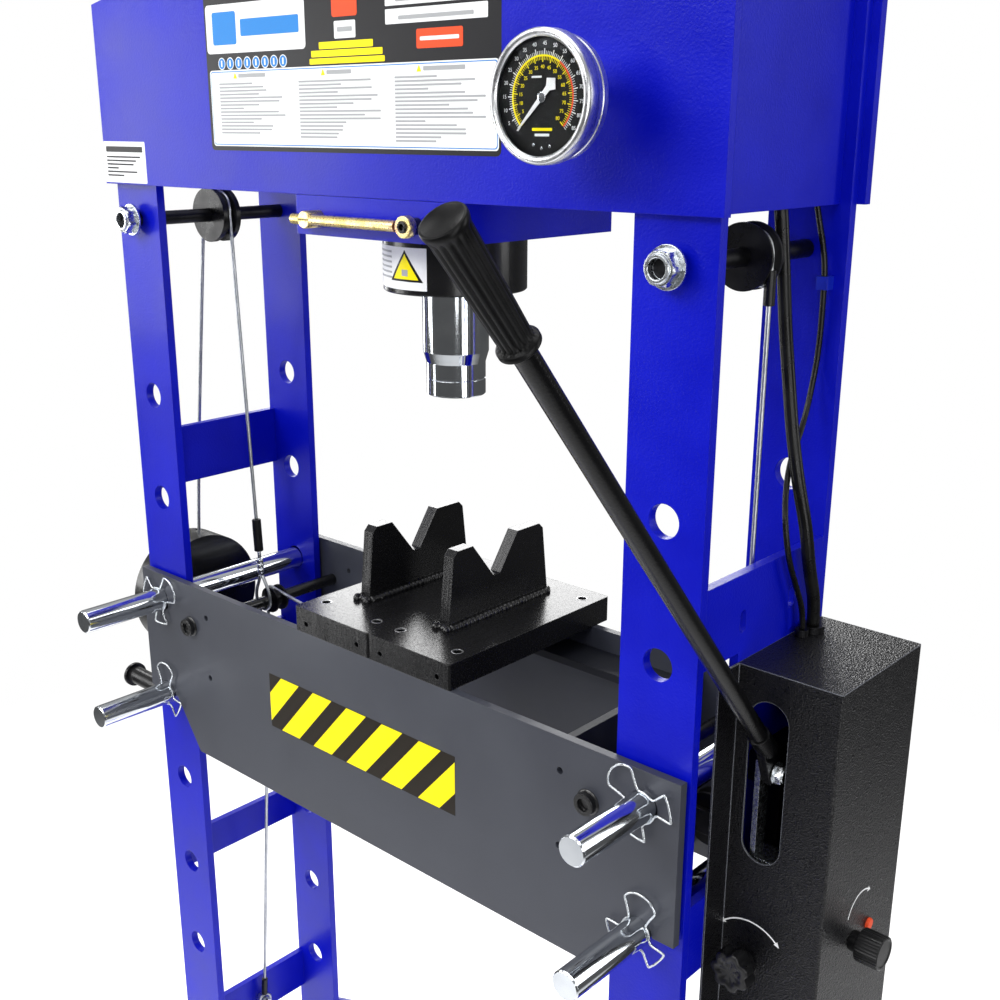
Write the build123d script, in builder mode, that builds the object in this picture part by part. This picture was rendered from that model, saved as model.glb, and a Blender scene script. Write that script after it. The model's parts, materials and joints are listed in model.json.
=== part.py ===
"""Hydraulic shop press: an H-frame with a pinned table, a sliding cylinder, a hand pump and a rope winch.

Millimetres. +Z is up, +X is to the right seen from the front, +Y is to the back.
The origin is on the floor, half way between the two side frames.
"""
import os
from math import cos, pi, radians, sin, tan

from build123d import *

os.makedirs("parts", exist_ok=True)

# ---- Side frames -------------------------------------------------------------------------------
SIDE_X = 420.0          # centre line of each side frame
FLAT_W = 90.0           # width of an upright flat bar
FLAT_T = 11.0           # its thickness
FRAME_Y = 120.0         # outer faces of the uprights
UPRIGHT_TOP = 1796.0
HOLE_PITCH = 145.0
TOP_HOLE_Z = 1322.5
HOLE_R = 17.0
HOLE_COUNT = 8
BRACE_T = 10.0
BRACE_X = SIDE_X + FLAT_W / 2
BRACE_Y = FRAME_Y - FLAT_T
BRACE_SPANS = [(225.0, 295.0), (566.0, 619.0), (836.0, 922.0), (1180.0, 1262.0)]
PUMP_PLATE_SPAN = (922.0, 1180.0)

# ---- Feet --------------------------------------------------------------------------------------
FOOT_T = 8.0
FOOT_W = 110.0
FOOT_HALF = 380.0
GUSSET_T = 12.0
FLOOR_BOLT_X = 446.0
FLOOR_BOLT_Y = 350.0
FLOOR_BOLT_R = 7.0

# ---- Head --------------------------------------------------------------------------------------
HEAD_Z = 1600.0
HEAD_SIDE_TOP = 1818.0
HEAD_TOP = 1852.0
HEAD_X = 474.0
HEAD_FLAT_X = 290.0
HEAD_T = 10.0
END_X = 452.5
RAIL_TOP = 1632.0
RAIL_H = 20.0
RAIL_W = 22.0
RAIL_X = 372.0

# ---- Table -------------------------------------------------------------------------------------
TABLE_TOP = 1069.0
TABLE_X = 463.0
TABLE_Y = 124.0
TABLE_T = 10.0
EAR_Z = 885.5
EAR_X = 398.0
TABLE_BOTTOM = 815.0
TABLE_BOTTOM_X = 350.0
PIN_R = 16.0
PIN_DROP = HOLE_R - PIN_R - 0.05
UPPER_PIN_Z = TOP_HOLE_Z - 2 * HOLE_PITCH - PIN_DROP
LOWER_PIN_Z = TOP_HOLE_Z - 3 * HOLE_PITCH - PIN_DROP
PIN_BACK_Y = 165.0
TIE_X = 351.0
TIE_Z = 1008.0
TIE_R = 8.5
DIAPHRAGM_X = 306.0

# ---- Ropes and their pulleys -------------------------------------------------------------------
ROPE_R = 2.5
SHAFT_Z = 1556.0
SHAFT_R = 9.0
PULLEY_R = 36.0
PULLEY_GROOVE_R = 27.4
PULLEY_ROPE_R = 30.5
PULLEY_ROPE_Y = 2.0
SPOOL_R = 32.0
SPOOL_GROOVE_R = 22.5
ROPE_BEND_R = 30.3

# ---- Carriage, cylinder and ram ----------------------------------------------------------------
RAM_X = 37.0
CARRIAGE_HALF = 124.0
CARRIAGE_T = 42.7
CARRIAGE_TOP = HEAD_Z - 0.3
CYLINDER_R = 82.5
CYLINDER_Z = 1494.0
CYLINDER_TOP = 1800.0
RAM_R = 38.5
RAM_END_R = 34.7
SADDLE_Z = 1392.0
RAM_Z = 1372.0

# ---- Gauge -------------------------------------------------------------------------------------
GAUGE_X = 335.5
GAUGE_Z = 1696.0
DIAL_Y = -201.0
LENS_Y = -203.5
LENS_FRONT_Y = -205.7
BEZEL_BACK_Y = -193.5
BEZEL_FRONT_Y = -208.5
GAUGE_CASE_R = 52.0
BEZEL_R = 55.0
GAUGE_BACK_Y = -177.0

# ---- Pump --------------------------------------------------------------------------------------
BOX_X0 = 465.0
BOX_X1 = 578.0
BOX_Y0 = -47.5
BOX_Y1 = 119.0
BOX_Z0 = 600.0
BOX_Z1 = 1170.0
BOX_T = 2.0
BOX_FLANGE_Y = -83.0
LEVER_X = 505.0
PIVOT_Y = 0.0
PIVOT_Z = 1045.0
TUBE_START = (-50.0, 1091.0)
GRIP_START = (-421.0, 1533.0)
TUBE_R = 9.5
SOCKET_R = 11.0
GRIP_R = 13.0
GRIP_TOP_R = 15.5
GRIP_LIP_R = 17.0
LINK_BOLT = (-38.0, 1062.0)
PLUNGER_Y = -20.0
PLUNGER_R = 9.0
RELEASE_X = 497.0
RELEASE_Z = 845.0
SELECTOR_Y = 18.0
SELECTOR_Z = 873.0

# ---- Winch -------------------------------------------------------------------------------------
WINCH_Y = -18.0
WINCH_Z = 990.0
WINCH_R = 92.0
CASE_X0 = -532.0
CASE_X1 = -480.0
CRANK_Y = 52.0
GRIP_Y = -59.0
GRIP_Z = 822.0
GEAR_MODULE = 2.0
GEAR_TEETH = 58
PINION_TEETH = 12

# ---- Hoses -------------------------------------------------------------------------------------
HOSE_R = 6.7
THIN_HOSE_R = 3.0


def save(builder, name):
    """Labels the finished piece and writes it."""
    builder.part.label = name
    export_step(builder.part, f"parts/{name}.step")


def front_plane(y):
    """A sketch plane facing the front: local x is X, local y is Z, and its normal is -Y."""
    return Plane(origin=(0, y, 0), x_dir=(1, 0, 0), z_dir=(0, -1, 0))


def side_plane(x):
    """A sketch plane facing right: local x is Y, local y is Z, and its normal is +X."""
    return Plane(origin=(x, 0, 0), x_dir=(0, 1, 0), z_dir=(1, 0, 0))


def block(x0, x1, y0, y1, z0, z1):
    """A box between two corners, in the open part."""
    with Locations(((x0 + x1) / 2, (y0 + y1) / 2, (z0 + z1) / 2)):
        Box(abs(x1 - x0), abs(y1 - y0), abs(z1 - z0))


def rod(start, end, radius, mode=Mode.ADD):
    """A round bar from one point to another, in the open part."""
    axis = Vector(*end) - Vector(*start)
    with Locations(Plane(origin=start, z_dir=axis)):
        Cylinder(radius, axis.length, align=(Align.CENTER, Align.CENTER, Align.MIN), mode=mode)


def tube_along(points, radius, label):
    """A cord's tube: straight runs joined by tangent arcs as large as the runs allow."""
    places = [Vector(*point) for point in points]
    radii = []
    for before, here, after in zip(places, places[1:], places[2:]):
        turn = (here - before).get_angle(after - here)
        run = min((here - before).length, (after - here).length)
        radii.append(round(0.45 * run / tan(radians(turn / 2)), 1))
    return sweep_tube(points, radii, radius, label)


def sweep_tube(points, radii, radius, label):
    """Sweeps a round section along the filleted route, and prints its bends and its volume."""
    with BuildPart() as tube:
        with BuildLine() as path:
            FilletPolyline(*points, radius=radii)
        with BuildSketch(Plane(origin=path.line @ 0, z_dir=path.line % 0)):
            Circle(radius)
        sweep()
    length = sum(edge.length for edge in path.edges())
    expected = length * pi * radius ** 2
    print(label, "length", round(length, 1), "radii", radii,
          "volume ratio", round(tube.part.volume / expected, 4))
    return tube


# ---- The two side frames -----------------------------------------------------------------------
def make_uprights(side, name):
    with BuildPart() as uprights:
        for front_face in (-FRAME_Y, BRACE_Y):
            with BuildSketch(front_plane(front_face)):
                with Locations((side * SIDE_X, (FOOT_T + UPRIGHT_TOP) / 2)):
                    Rectangle(FLAT_W, UPRIGHT_TOP - FOOT_T)
                with Locations(*[(side * SIDE_X, TOP_HOLE_Z - n * HOLE_PITCH) for n in range(HOLE_COUNT)]):
                    Circle(HOLE_R, mode=Mode.SUBTRACT)
                with Locations((side * SIDE_X, SHAFT_Z)):
                    Circle(SHAFT_R, mode=Mode.SUBTRACT)
            extrude(amount=-FLAT_T)
    save(uprights, name)


make_uprights(-1, "uprights_left")
make_uprights(1, "uprights_right")


def make_braces(side, name):
    outer = side * BRACE_X
    inner = side * (BRACE_X - BRACE_T)
    with BuildPart() as braces:
        for low, high in BRACE_SPANS:
            block(inner, outer, -BRACE_Y, BRACE_Y, low, high)
        if side > 0:
            block(inner, outer, BOX_Y0, BRACE_Y, PUMP_PLATE_SPAN[0], PUMP_PLATE_SPAN[1])
            with BuildSketch(side_plane(inner - 1)):
                with Locations((-43.0, 1212.0), (50.0, 1212.0)):
                    SlotOverall(24, 11, rotation=90)
            extrude(amount=BRACE_T + 2, mode=Mode.SUBTRACT)
    save(braces, name)


make_braces(-1, "side_braces_left")
make_braces(1, "side_braces_right")

with BuildPart() as base_feet:
    for side in (-1, 1):
        block(side * SIDE_X - FOOT_W / 2, side * SIDE_X + FOOT_W / 2, -FOOT_HALF, FOOT_HALF, 0, FOOT_T)
        for way in (-1, 1):
            with BuildSketch(side_plane(side * SIDE_X - GUSSET_T / 2)):
                with BuildLine():
                    Polyline(
                        (way * FRAME_Y, FOOT_T), (way * (FOOT_HALF - 15), FOOT_T),
                        (way * (FOOT_HALF - 15), FOOT_T + 18), (way * (FRAME_Y + 18), 200),
                        (way * FRAME_Y, 200), close=True)
                make_face()
            extrude(amount=GUSSET_T)
    with Locations(*[(sx * FLOOR_BOLT_X, sy * FLOOR_BOLT_Y, FOOT_T) for sx in (-1, 1) for sy in (-1, 1)]):
        Hole(FLOOR_BOLT_R, depth=FOOT_T)
save(base_feet, "base_feet")


# ---- Head --------------------------------------------------------------------------------------
def make_head_plate(way, name):
    """A head plate with its inner rail welded on: way is -1 at the front and 1 at the back."""
    inner_face = way * FRAME_Y
    with BuildPart() as plate:
        with BuildSketch(front_plane(inner_face)):
            with BuildLine():
                Polyline(
                    (-HEAD_X, HEAD_Z), (HEAD_X, HEAD_Z), (HEAD_X, HEAD_SIDE_TOP), (HEAD_FLAT_X, HEAD_TOP),
                    (-HEAD_FLAT_X, HEAD_TOP), (-HEAD_X, HEAD_SIDE_TOP), close=True)
            make_face()
            if way < 0:
                with Locations((GAUGE_X, GAUGE_Z)):
                    Circle(9.5, mode=Mode.SUBTRACT)
        extrude(amount=-way * HEAD_T)
        block(-RAIL_X, RAIL_X, inner_face, inner_face - way * RAIL_W, RAIL_TOP - RAIL_H, RAIL_TOP)
    save(plate, name)


make_head_plate(-1, "head_front_plate")
make_head_plate(1, "head_rear_plate")

with BuildPart() as head_end_plates:
    for side in (-1, 1):
        block(side * (END_X - HEAD_T), side * END_X, -BRACE_Y, BRACE_Y, HEAD_Z, HEAD_SIDE_TOP)
save(head_end_plates, "head_end_plates")

# ---- Pulley shafts, pulleys --------------------------------------------------------------------
SHAFT_END = 141.0
WASHER_T = 3.0
NUT_T = 15.0

with BuildPart() as pulley_shafts:
    for side in (-1, 1):
        rod((side * SIDE_X, -SHAFT_END, SHAFT_Z), (side * SIDE_X, SHAFT_END, SHAFT_Z), SHAFT_R)
    chamfer(pulley_shafts.edges().filter_by(GeomType.CIRCLE), length=1.2)
save(pulley_shafts, "pulley_shafts")

with BuildPart() as shaft_nuts:
    for side in (-1, 1):
        for way in (-1, 1):
            plane = Plane(origin=(side * SIDE_X, way * FRAME_Y, SHAFT_Z), x_dir=(1, 0, 0), z_dir=(0, way, 0))
            with BuildSketch(plane):
                Circle(20)
                Circle(SHAFT_R, mode=Mode.SUBTRACT)
            extrude(amount=WASHER_T)
            with BuildSketch(plane.offset(WASHER_T)):
                RegularPolygon(15, 6, major_radius=False, rotation=15)
                Circle(SHAFT_R, mode=Mode.SUBTRACT)
            extrude(amount=NUT_T)
save(shaft_nuts, "shaft_nuts")


def grooved_wheel(centre_x, y0, y1, z, rim, groove, bore, groove_y, groove_half):
    """A wheel on an axle along Y, with one rope groove."""
    profile_plane = Plane(origin=(centre_x, 0, z), x_dir=(1, 0, 0), z_dir=(0, 0, 1))
    with BuildPart() as wheel:
        with BuildSketch(profile_plane):
            with BuildLine():
                Polyline(
                    (bore, y0), (rim, y0), (rim, groove_y - groove_half - 1), (groove, groove_y - groove_half + 2),
                    (groove, groove_y + groove_half - 2), (rim, groove_y + groove_half + 1), (rim, y1),
                    (bore, y1), close=True)
            make_face()
        revolve(axis=Axis((centre_x, 0, z), (0, 1, 0)))
    return wheel


left_pulley = grooved_wheel(
    -SIDE_X, -12.0, 16.0, SHAFT_Z, PULLEY_R, PULLEY_GROOVE_R, SHAFT_R + 0.08, PULLEY_ROPE_Y, 6.0)
save(left_pulley, "left_pulley")

anchor_spool = grooved_wheel(SIDE_X, -10.0, 10.0, SHAFT_Z, SPOOL_R, SPOOL_GROOVE_R, SHAFT_R, 0.0, 6.5)
save(anchor_spool, "rope_anchor_spool")

# ---- Table -------------------------------------------------------------------------------------
NOTCH_Z = LOWER_PIN_Z + PIN_R - HOLE_R + 0.05
TABLE_HOLE_Z = UPPER_PIN_Z + PIN_R - HOLE_R + 0.05


def make_table_plate(way, name):
    with BuildPart() as plate:
        with BuildSketch(front_plane(way * TABLE_Y)):
            with BuildLine():
                Polyline(
                    (-TABLE_X, TABLE_TOP), (-TABLE_X, EAR_Z), (-EAR_X, EAR_Z), (-TABLE_BOTTOM_X, TABLE_BOTTOM),
                    (TABLE_BOTTOM_X, TABLE_BOTTOM), (EAR_X, EAR_Z), (TABLE_X, EAR_Z), (TABLE_X, TABLE_TOP),
                    close=True)
            make_face()
            with Locations((-SIDE_X, TABLE_HOLE_Z), (SIDE_X, TABLE_HOLE_Z), (-SIDE_X, NOTCH_Z), (SIDE_X, NOTCH_Z)):
                Circle(HOLE_R, mode=Mode.SUBTRACT)
            with Locations((-TIE_X, TIE_Z), (TIE_X, TIE_Z)):
                Circle(TIE_R, mode=Mode.SUBTRACT)
            with Locations(*[(side * 313.0, z) for side in (-1, 1) for z in (941.0, 1030.0)]):
                Circle(4, mode=Mode.SUBTRACT)
        extrude(amount=-way * TABLE_T)
    save(plate, name)


make_table_plate(-1, "table_front_plate")
make_table_plate(1, "table_rear_plate")

with BuildPart() as table_diaphragms:
    block(DIAPHRAGM_X, DIAPHRAGM_X + 10, -TABLE_Y, TABLE_Y, 825, 1062)
    block(-DIAPHRAGM_X, -DIAPHRAGM_X - 10, -TABLE_Y, TABLE_Y, 825, 960)
    block(20, DIAPHRAGM_X, TABLE_Y - 50, TABLE_Y, 1032, 1042)
    with BuildSketch(side_plane(DIAPHRAGM_X - 1)):
        with Locations((0, 948)):
            Circle(12)
    extrude(amount=12, mode=Mode.SUBTRACT)
save(table_diaphragms, "table_diaphragms")

with BuildPart() as table_tie_rods:
    for side in (-1, 1):
        outer = TABLE_Y + TABLE_T
        rod((side * TIE_X, -outer, TIE_Z), (side * TIE_X, outer, TIE_Z), TIE_R)
        for way in (-1, 1):
            plane = Plane(origin=(side * TIE_X, way * outer, TIE_Z), x_dir=(1, 0, 0), z_dir=(0, way, 0))
            with BuildSketch(plane):
                Circle(12.5)
            extrude(amount=9)
save(table_tie_rods, "table_tie_rods")

ROLLER_X = 419.5
ROLLER_Z = 960.0
ROLLER_GROOVE_R = 23.2
TIE_SPOOL_GROOVE_R = 11.0
TIE_SPOOL_Y = 13.0

with BuildPart() as table_rope_spools:
    for centre, groove, rim, hole in (
            ((-TIE_X, TIE_SPOOL_Y, TIE_Z), TIE_SPOOL_GROOVE_R, 19.0, TIE_R),
            ((ROLLER_X, 0.0, ROLLER_Z), ROLLER_GROOVE_R, 31.0, 8.0)):
        with BuildSketch(Plane(origin=(centre[0], 0, centre[2]), x_dir=(1, 0, 0), z_dir=(0, 0, 1))):
            with BuildLine():
                Polyline(
                    (hole, centre[1] - 10), (rim, centre[1] - 10), (rim, centre[1] - 7),
                    (groove, centre[1] - 5), (groove, centre[1] + 5), (rim, centre[1] + 7),
                    (rim, centre[1] + 10), (hole, centre[1] + 10), close=True)
            make_face()
        revolve(axis=Axis((centre[0], 0, centre[2]), (0, 1, 0)))
    for way in (-1, 1):
        block(DIAPHRAGM_X + 10, ROLLER_X + 16, way * 11.5, way * 17.5, ROLLER_Z - 14, ROLLER_Z + 14)
    rod((ROLLER_X, -17.5, ROLLER_Z), (ROLLER_X, 17.5, ROLLER_Z), 8)
save(table_rope_spools, "table_rope_spools")


# ---- Table pins and their clips ----------------------------------------------------------------
CLIP_WIRE = 2.6
CLIP_Y = -138.0


CLIP_ROOT = 38.0        # half the angle between a lobe's two legs at the pin, in degrees
CLIP_SPREAD = 33.0      # and at its outer corners


def lobe_points(centre, reach, crown, root, trim=0.0):
    """Corner points of one clip lobe, in the clip's plane: legs from the pin to a crowned end."""
    turns_and_reaches = (
        (-CLIP_ROOT + trim, root), (-CLIP_SPREAD + trim, reach), (0, crown),
        (CLIP_SPREAD - trim, reach), (CLIP_ROOT - trim, root))
    return [(r * cos(radians(centre + turn)), r * sin(radians(centre + turn))) for turn, r in turns_and_reaches]


def make_pin(side, z, front_y, name):
    with BuildPart() as pin:
        rod((side * SIDE_X, front_y, z), (side * SIDE_X, PIN_BACK_Y, z), PIN_R)
        chamfer(pin.edges().filter_by(GeomType.CIRCLE), length=1.5)
    save(pin, name)


def make_clip(side, z, turn, name):
    """A closed spring-wire clip gripping the pin: one wide crowned lobe and two flat ones."""
    lobes = [(turn, 43.0, 47.0), (turn + 120, 35.0, 30.0), (turn - 120, 35.0, 30.0)]
    with BuildPart() as clip:
        with BuildSketch(Plane(origin=(side * SIDE_X, CLIP_Y, z), x_dir=(1, 0, 0), z_dir=(0, -1, 0))):
            Circle(PIN_R + CLIP_WIRE)
            for centre, reach, crown in lobes:
                with BuildLine():
                    Polyline(*lobe_points(centre, reach, crown, PIN_R), close=True)
                make_face()
            for centre, reach, crown in lobes:
                with BuildLine():
                    Polyline(*lobe_points(centre, reach - CLIP_WIRE, crown - CLIP_WIRE, PIN_R, 5.0), close=True)
                make_face(mode=Mode.SUBTRACT)
            Circle(PIN_R, mode=Mode.SUBTRACT)
        extrude(amount=CLIP_WIRE)
    save(clip, name)


for corner, side, z, front_y, turn in (
        ("upper_left", -1, UPPER_PIN_Z, -257.0, 35),
        ("lower_left", -1, LOWER_PIN_Z, -248.0, 87),
        ("upper_right", 1, UPPER_PIN_Z, -247.5, 137),
        ("lower_right", 1, LOWER_PIN_Z, -253.0, 83)):
    make_pin(side, z, front_y, f"pin_{corner}")
    make_clip(side, z, turn, f"pin_clip_{corner}")

# ---- V-blocks ----------------------------------------------------------------------------------
V_BLOCK_W = 134.5
V_BLOCK_T = 32.0
V_PLATE_T = 16.0
V_HOLE_STEP = 47.0


def make_v_block(x0, v_x0, name):
    """A V-block: a base plate with an upright V plate welded across it."""
    centre = x0 + V_BLOCK_W / 2
    top = TABLE_TOP + V_BLOCK_T
    with BuildPart() as v_block:
        block(x0, x0 + V_BLOCK_W, -134, 156, TABLE_TOP, top)
        chamfer(v_block.edges().filter_by(Axis.Z), length=2)
        with Locations(*[(centre + s * V_HOLE_STEP, y, top) for s in (-1, 1) for y in (-100, 127)]):
            Hole(5.5, depth=V_BLOCK_T)
        for s in (-1, 1):
            rod((centre + s * V_HOLE_STEP, -134, TABLE_TOP + 12), (centre + s * V_HOLE_STEP, -120, TABLE_TOP + 12),
                3.4, mode=Mode.SUBTRACT)
        with BuildSketch(side_plane(v_x0)):
            with BuildLine():
                Polyline(
                    (-62, top), (118, top), (108, top + 88), (101, top + 95), (60, top + 95), (28, top + 49),
                    (16, top + 49), (-20, top + 95), (-46, top + 95), (-53, top + 88), close=True)
            make_face()
        extrude(amount=V_PLATE_T)
    save(v_block, name)


make_v_block(-117.0, -74.0, "v_block_left")
make_v_block(18.0, 66.0, "v_block_right")

# ---- Carriage ----------------------------------------------------------------------------------
CARRIAGE_BOTTOM = CARRIAGE_TOP - CARRIAGE_T

with BuildPart() as carriage_plate:
    block(RAM_X - CARRIAGE_HALF, RAM_X + CARRIAGE_HALF, -130, 132, CARRIAGE_BOTTOM, CARRIAGE_TOP)
    fillet(carriage_plate.edges().filter_by(Axis.Z), radius=5)
    rod((RAM_X, 0, CARRIAGE_BOTTOM), (RAM_X, 0, CARRIAGE_TOP), CYLINDER_R, mode=Mode.SUBTRACT)
save(carriage_plate, "carriage_plate")

HANGER_BOTTOM = RAIL_TOP + 0.3
with BuildPart() as carriage_hangers:
    for s in (-1, 1):
        x = RAM_X + s * 100
        block(x - 12, x + 12, -113, 113, HANGER_BOTTOM, HANGER_BOTTOM + 18)
        for y in (-80, 80):
            block(x - 12, x + 12, y - 12, y + 12, CARRIAGE_TOP, HANGER_BOTTOM)
save(carriage_hangers, "carriage_hangers")

HANDLE_Z = 1575.0
with BuildPart() as carriage_handle:
    rod((-45, -147, HANDLE_Z), (100, -147, HANDLE_Z), 6)
    for x in (-45, 109):
        rod((x, -130, HANDLE_Z), (x, -153, HANDLE_Z), 9.5)
    rod((-74, -147, HANDLE_Z), (-45, -147, HANDLE_Z), 6)
save(carriage_handle, "carriage_handle")

with BuildPart() as cylinder_body:
    with BuildSketch(Plane(origin=(RAM_X, 0, 0), x_dir=(1, 0, 0), z_dir=(0, -1, 0))):
        with BuildLine():
            Polyline(
                (RAM_R + 0.05, CYLINDER_Z), (CYLINDER_R - 1.5, CYLINDER_Z), (CYLINDER_R, CYLINDER_Z + 1.5),
                (CYLINDER_R, CYLINDER_TOP), (0, CYLINDER_TOP), (0, CYLINDER_TOP - 20), (55, CYLINDER_TOP - 20),
                (55, CYLINDER_Z + 40), (RAM_R + 0.05, CYLINDER_Z + 40), close=True)
        make_face()
    revolve(axis=Axis((RAM_X, 0, 0), (0, 0, 1)))
    rod((RAM_X + 50, 0, CYLINDER_TOP - 34), (RAM_X + CYLINDER_R + 5, 0, CYLINDER_TOP - 34), 4,
        mode=Mode.SUBTRACT)
save(cylinder_body, "cylinder_body")

PORT_Z = CYLINDER_TOP - 34
PORT_X = RAM_X + CYLINDER_R + 24
with BuildPart() as cylinder_fitting:
    rod((RAM_X + CYLINDER_R, 0, PORT_Z), (RAM_X + CYLINDER_R + 12, 0, PORT_Z), 11)
    rod((RAM_X + CYLINDER_R + 12, 0, PORT_Z), (PORT_X, 0, PORT_Z), 9)
save(cylinder_fitting, "cylinder_fitting")

PISTON_Z = CYLINDER_TOP - 60
with BuildPart() as ram:
    with BuildSketch(Plane(origin=(RAM_X, 0, 0), x_dir=(1, 0, 0), z_dir=(0, -1, 0))):
        with BuildLine():
            Polyline(
                (0, SADDLE_Z), (RAM_END_R, SADDLE_Z), (RAM_END_R, 1410), (RAM_R, 1423), (RAM_R, PISTON_Z),
                (54.95, PISTON_Z), (54.95, PISTON_Z + 28), (23, PISTON_Z + 28), (23, 1450), (0, 1450),
                close=True)
        make_face()
    revolve(axis=Axis((RAM_X, 0, 0), (0, 0, 1)))
save(ram, "ram")

with BuildPart() as ram_saddle:
    rod((RAM_X, 0, RAM_Z), (RAM_X, 0, SADDLE_Z), RAM_END_R)
    chamfer(ram_saddle.edges().filter_by(GeomType.CIRCLE), length=1.2)
save(ram_saddle, "ram_saddle")

SPRING_PITCH = 9.0
SPRING_LOW = 1450.0
SPRING_COILS = int((CYLINDER_TOP - 20 - SPRING_LOW) / SPRING_PITCH)
with BuildPart() as return_spring:
    with BuildSketch(Plane(origin=(RAM_X, 0, 0), x_dir=(1, 0, 0), z_dir=(0, -1, 0))):
        with Locations((14.0, (SPRING_LOW + CYLINDER_TOP - 20) / 2)):
            Rectangle(4, CYLINDER_TOP - 20 - SPRING_LOW)
        with Locations(*[(16.0, SPRING_LOW + SPRING_PITCH * (n + 0.5)) for n in range(SPRING_COILS)]):
            Circle(3.5)
    revolve(axis=Axis((RAM_X, 0, 0), (0, 0, 1)))
save(return_spring, "return_spring")

# ---- Gauge -------------------------------------------------------------------------------------
GAUGE_AXIS = Axis((GAUGE_X, 0, GAUGE_Z), (0, 1, 0))
GAUGE_PROFILE = Plane(origin=(GAUGE_X, 0, GAUGE_Z), x_dir=(1, 0, 0), z_dir=(0, 0, 1))


def turned_about_gauge(points):
    """A ring or disc turned about the gauge's axis from (radius, y) points."""
    with BuildPart() as turned:
        with BuildSketch(GAUGE_PROFILE):
            with BuildLine():
                Polyline(*points, close=True)
            make_face()
        revolve(axis=GAUGE_AXIS)
    return turned


gauge_case = turned_about_gauge([
    (0, GAUGE_BACK_Y - 3), (49.5, GAUGE_BACK_Y - 3), (49.5, LENS_Y), (GAUGE_CASE_R, LENS_Y),
    (GAUGE_CASE_R, GAUGE_BACK_Y), (13, GAUGE_BACK_Y), (13, -160), (9, -160), (9, -117), (0, -117)])
save(gauge_case, "gauge_case")

gauge_bezel = turned_about_gauge([
    (GAUGE_CASE_R, BEZEL_BACK_Y), (BEZEL_R, BEZEL_BACK_Y), (BEZEL_R, BEZEL_FRONT_Y + 2),
    (BEZEL_R - 2, BEZEL_FRONT_Y), (48.5, BEZEL_FRONT_Y), (47.0, LENS_FRONT_Y), (GAUGE_CASE_R, LENS_FRONT_Y)])
save(gauge_bezel, "gauge_bezel")

gauge_dial = turned_about_gauge([(0, DIAL_Y), (49.4, DIAL_Y), (49.4, DIAL_Y + 1.5), (0, DIAL_Y + 1.5)])
save(gauge_dial, "gauge_dial")

gauge_lens = turned_about_gauge([(0, LENS_FRONT_Y), (51.9, LENS_FRONT_Y), (51.9, LENS_Y), (0, LENS_Y)])
save(gauge_lens, "gauge_lens")

ZERO_MARK = (-1, 0, -1)
with BuildPart() as gauge_pointer:
    with BuildSketch(Plane(origin=(GAUGE_X, DIAL_Y - 1.2, GAUGE_Z), x_dir=ZERO_MARK, z_dir=(0, -1, 0))):
        with BuildLine():
            Polyline((0, 1.4), (38, 0.4), (38, -0.4), (0, -1.4), (-16, -2.6), (-16, 2.6), close=True)
        make_face()
    extrude(amount=0.7)
    rod((GAUGE_X, DIAL_Y - 0.3, GAUGE_Z), (GAUGE_X, LENS_Y + 0.3, GAUGE_Z), 3.5)
save(gauge_pointer, "gauge_pointer")

# ---- Pump --------------------------------------------------------------------------------------
GLAND_THICK = (479.0, 74.0)
GLAND_THIN = (477.0, 55.0)
GLAND_TOP = BOX_Z1 + 8

with BuildPart() as pump_box:
    block(BOX_X0, BOX_X1, BOX_Y0, BOX_Y1, BOX_Z0, BOX_Z1)
    fillet(pump_box.edges().filter_by(Axis.Z), radius=2.5)
    with Locations((
            (BOX_X0 + BOX_X1 - 2 * BOX_T) / 2, (BOX_Y0 + BOX_Y1) / 2, (BOX_Z0 + BOX_Z1 - 2 * BOX_T) / 2)):
        Box(BOX_X1 - BOX_X0, BOX_Y1 - BOX_Y0 - 2 * BOX_T, BOX_Z1 - BOX_Z0, mode=Mode.SUBTRACT)
    block(BOX_X0, BOX_X0 + BOX_T, BOX_FLANGE_Y, BOX_Y0 + BOX_T, BOX_Z0, BOX_Z1)
    with BuildSketch(front_plane(BOX_Y0 - 1)):
        with Locations((503.8, 1050)):
            SlotOverall(178, 43, rotation=90)
        with Locations((RELEASE_X, RELEASE_Z)):
            Circle(5.5)
    extrude(amount=-BOX_T - 2, mode=Mode.SUBTRACT)
    rod((BOX_X1 - 5, SELECTOR_Y, SELECTOR_Z), (BOX_X1 + 1, SELECTOR_Y, SELECTOR_Z), 4.5, mode=Mode.SUBTRACT)
    for (x, y), radius in ((GLAND_THICK, 9.0), (GLAND_THIN, 5.0)):
        rod((x, y, BOX_Z1 - 5), (x, y, BOX_Z1 + 1), radius, mode=Mode.SUBTRACT)
save(pump_box, "pump_box")

PUMP_TOP = 900.0
with BuildPart() as pump_block:
    block(BOX_X0, 560, -44, 110, 700, PUMP_TOP)
    rod((LEVER_X, PLUNGER_Y, 780), (LEVER_X, PLUNGER_Y, PUMP_TOP + 1), PLUNGER_R + 0.05, mode=Mode.SUBTRACT)
    rod((RELEASE_X, -45, RELEASE_Z), (RELEASE_X, -34, RELEASE_Z), 5.1, mode=Mode.SUBTRACT)
    rod((561, SELECTOR_Y, SELECTOR_Z), (540, SELECTOR_Y, SELECTOR_Z), 4.1, mode=Mode.SUBTRACT)
    block(BOX_X0, 485, 20, 60, PUMP_TOP, PIVOT_Z + 16)
    block(BOX_X0, 485, -14, 20, PIVOT_Z - 16, PIVOT_Z + 16)
    rod((485, PIVOT_Y, PIVOT_Z), (522, PIVOT_Y, PIVOT_Z), 7)
save(pump_block, "pump_block")

with BuildPart() as hose_glands:
    for (x, y), outer in ((GLAND_THICK, 12.0), (GLAND_THIN, 7.0)):
        rod((x, y, BOX_Z1), (x, y, GLAND_TOP), outer)
        rod((x, y, BOX_Z1 - 12), (x, y, BOX_Z1), outer - 3.1)
save(hose_glands, "hose_glands")

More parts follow.
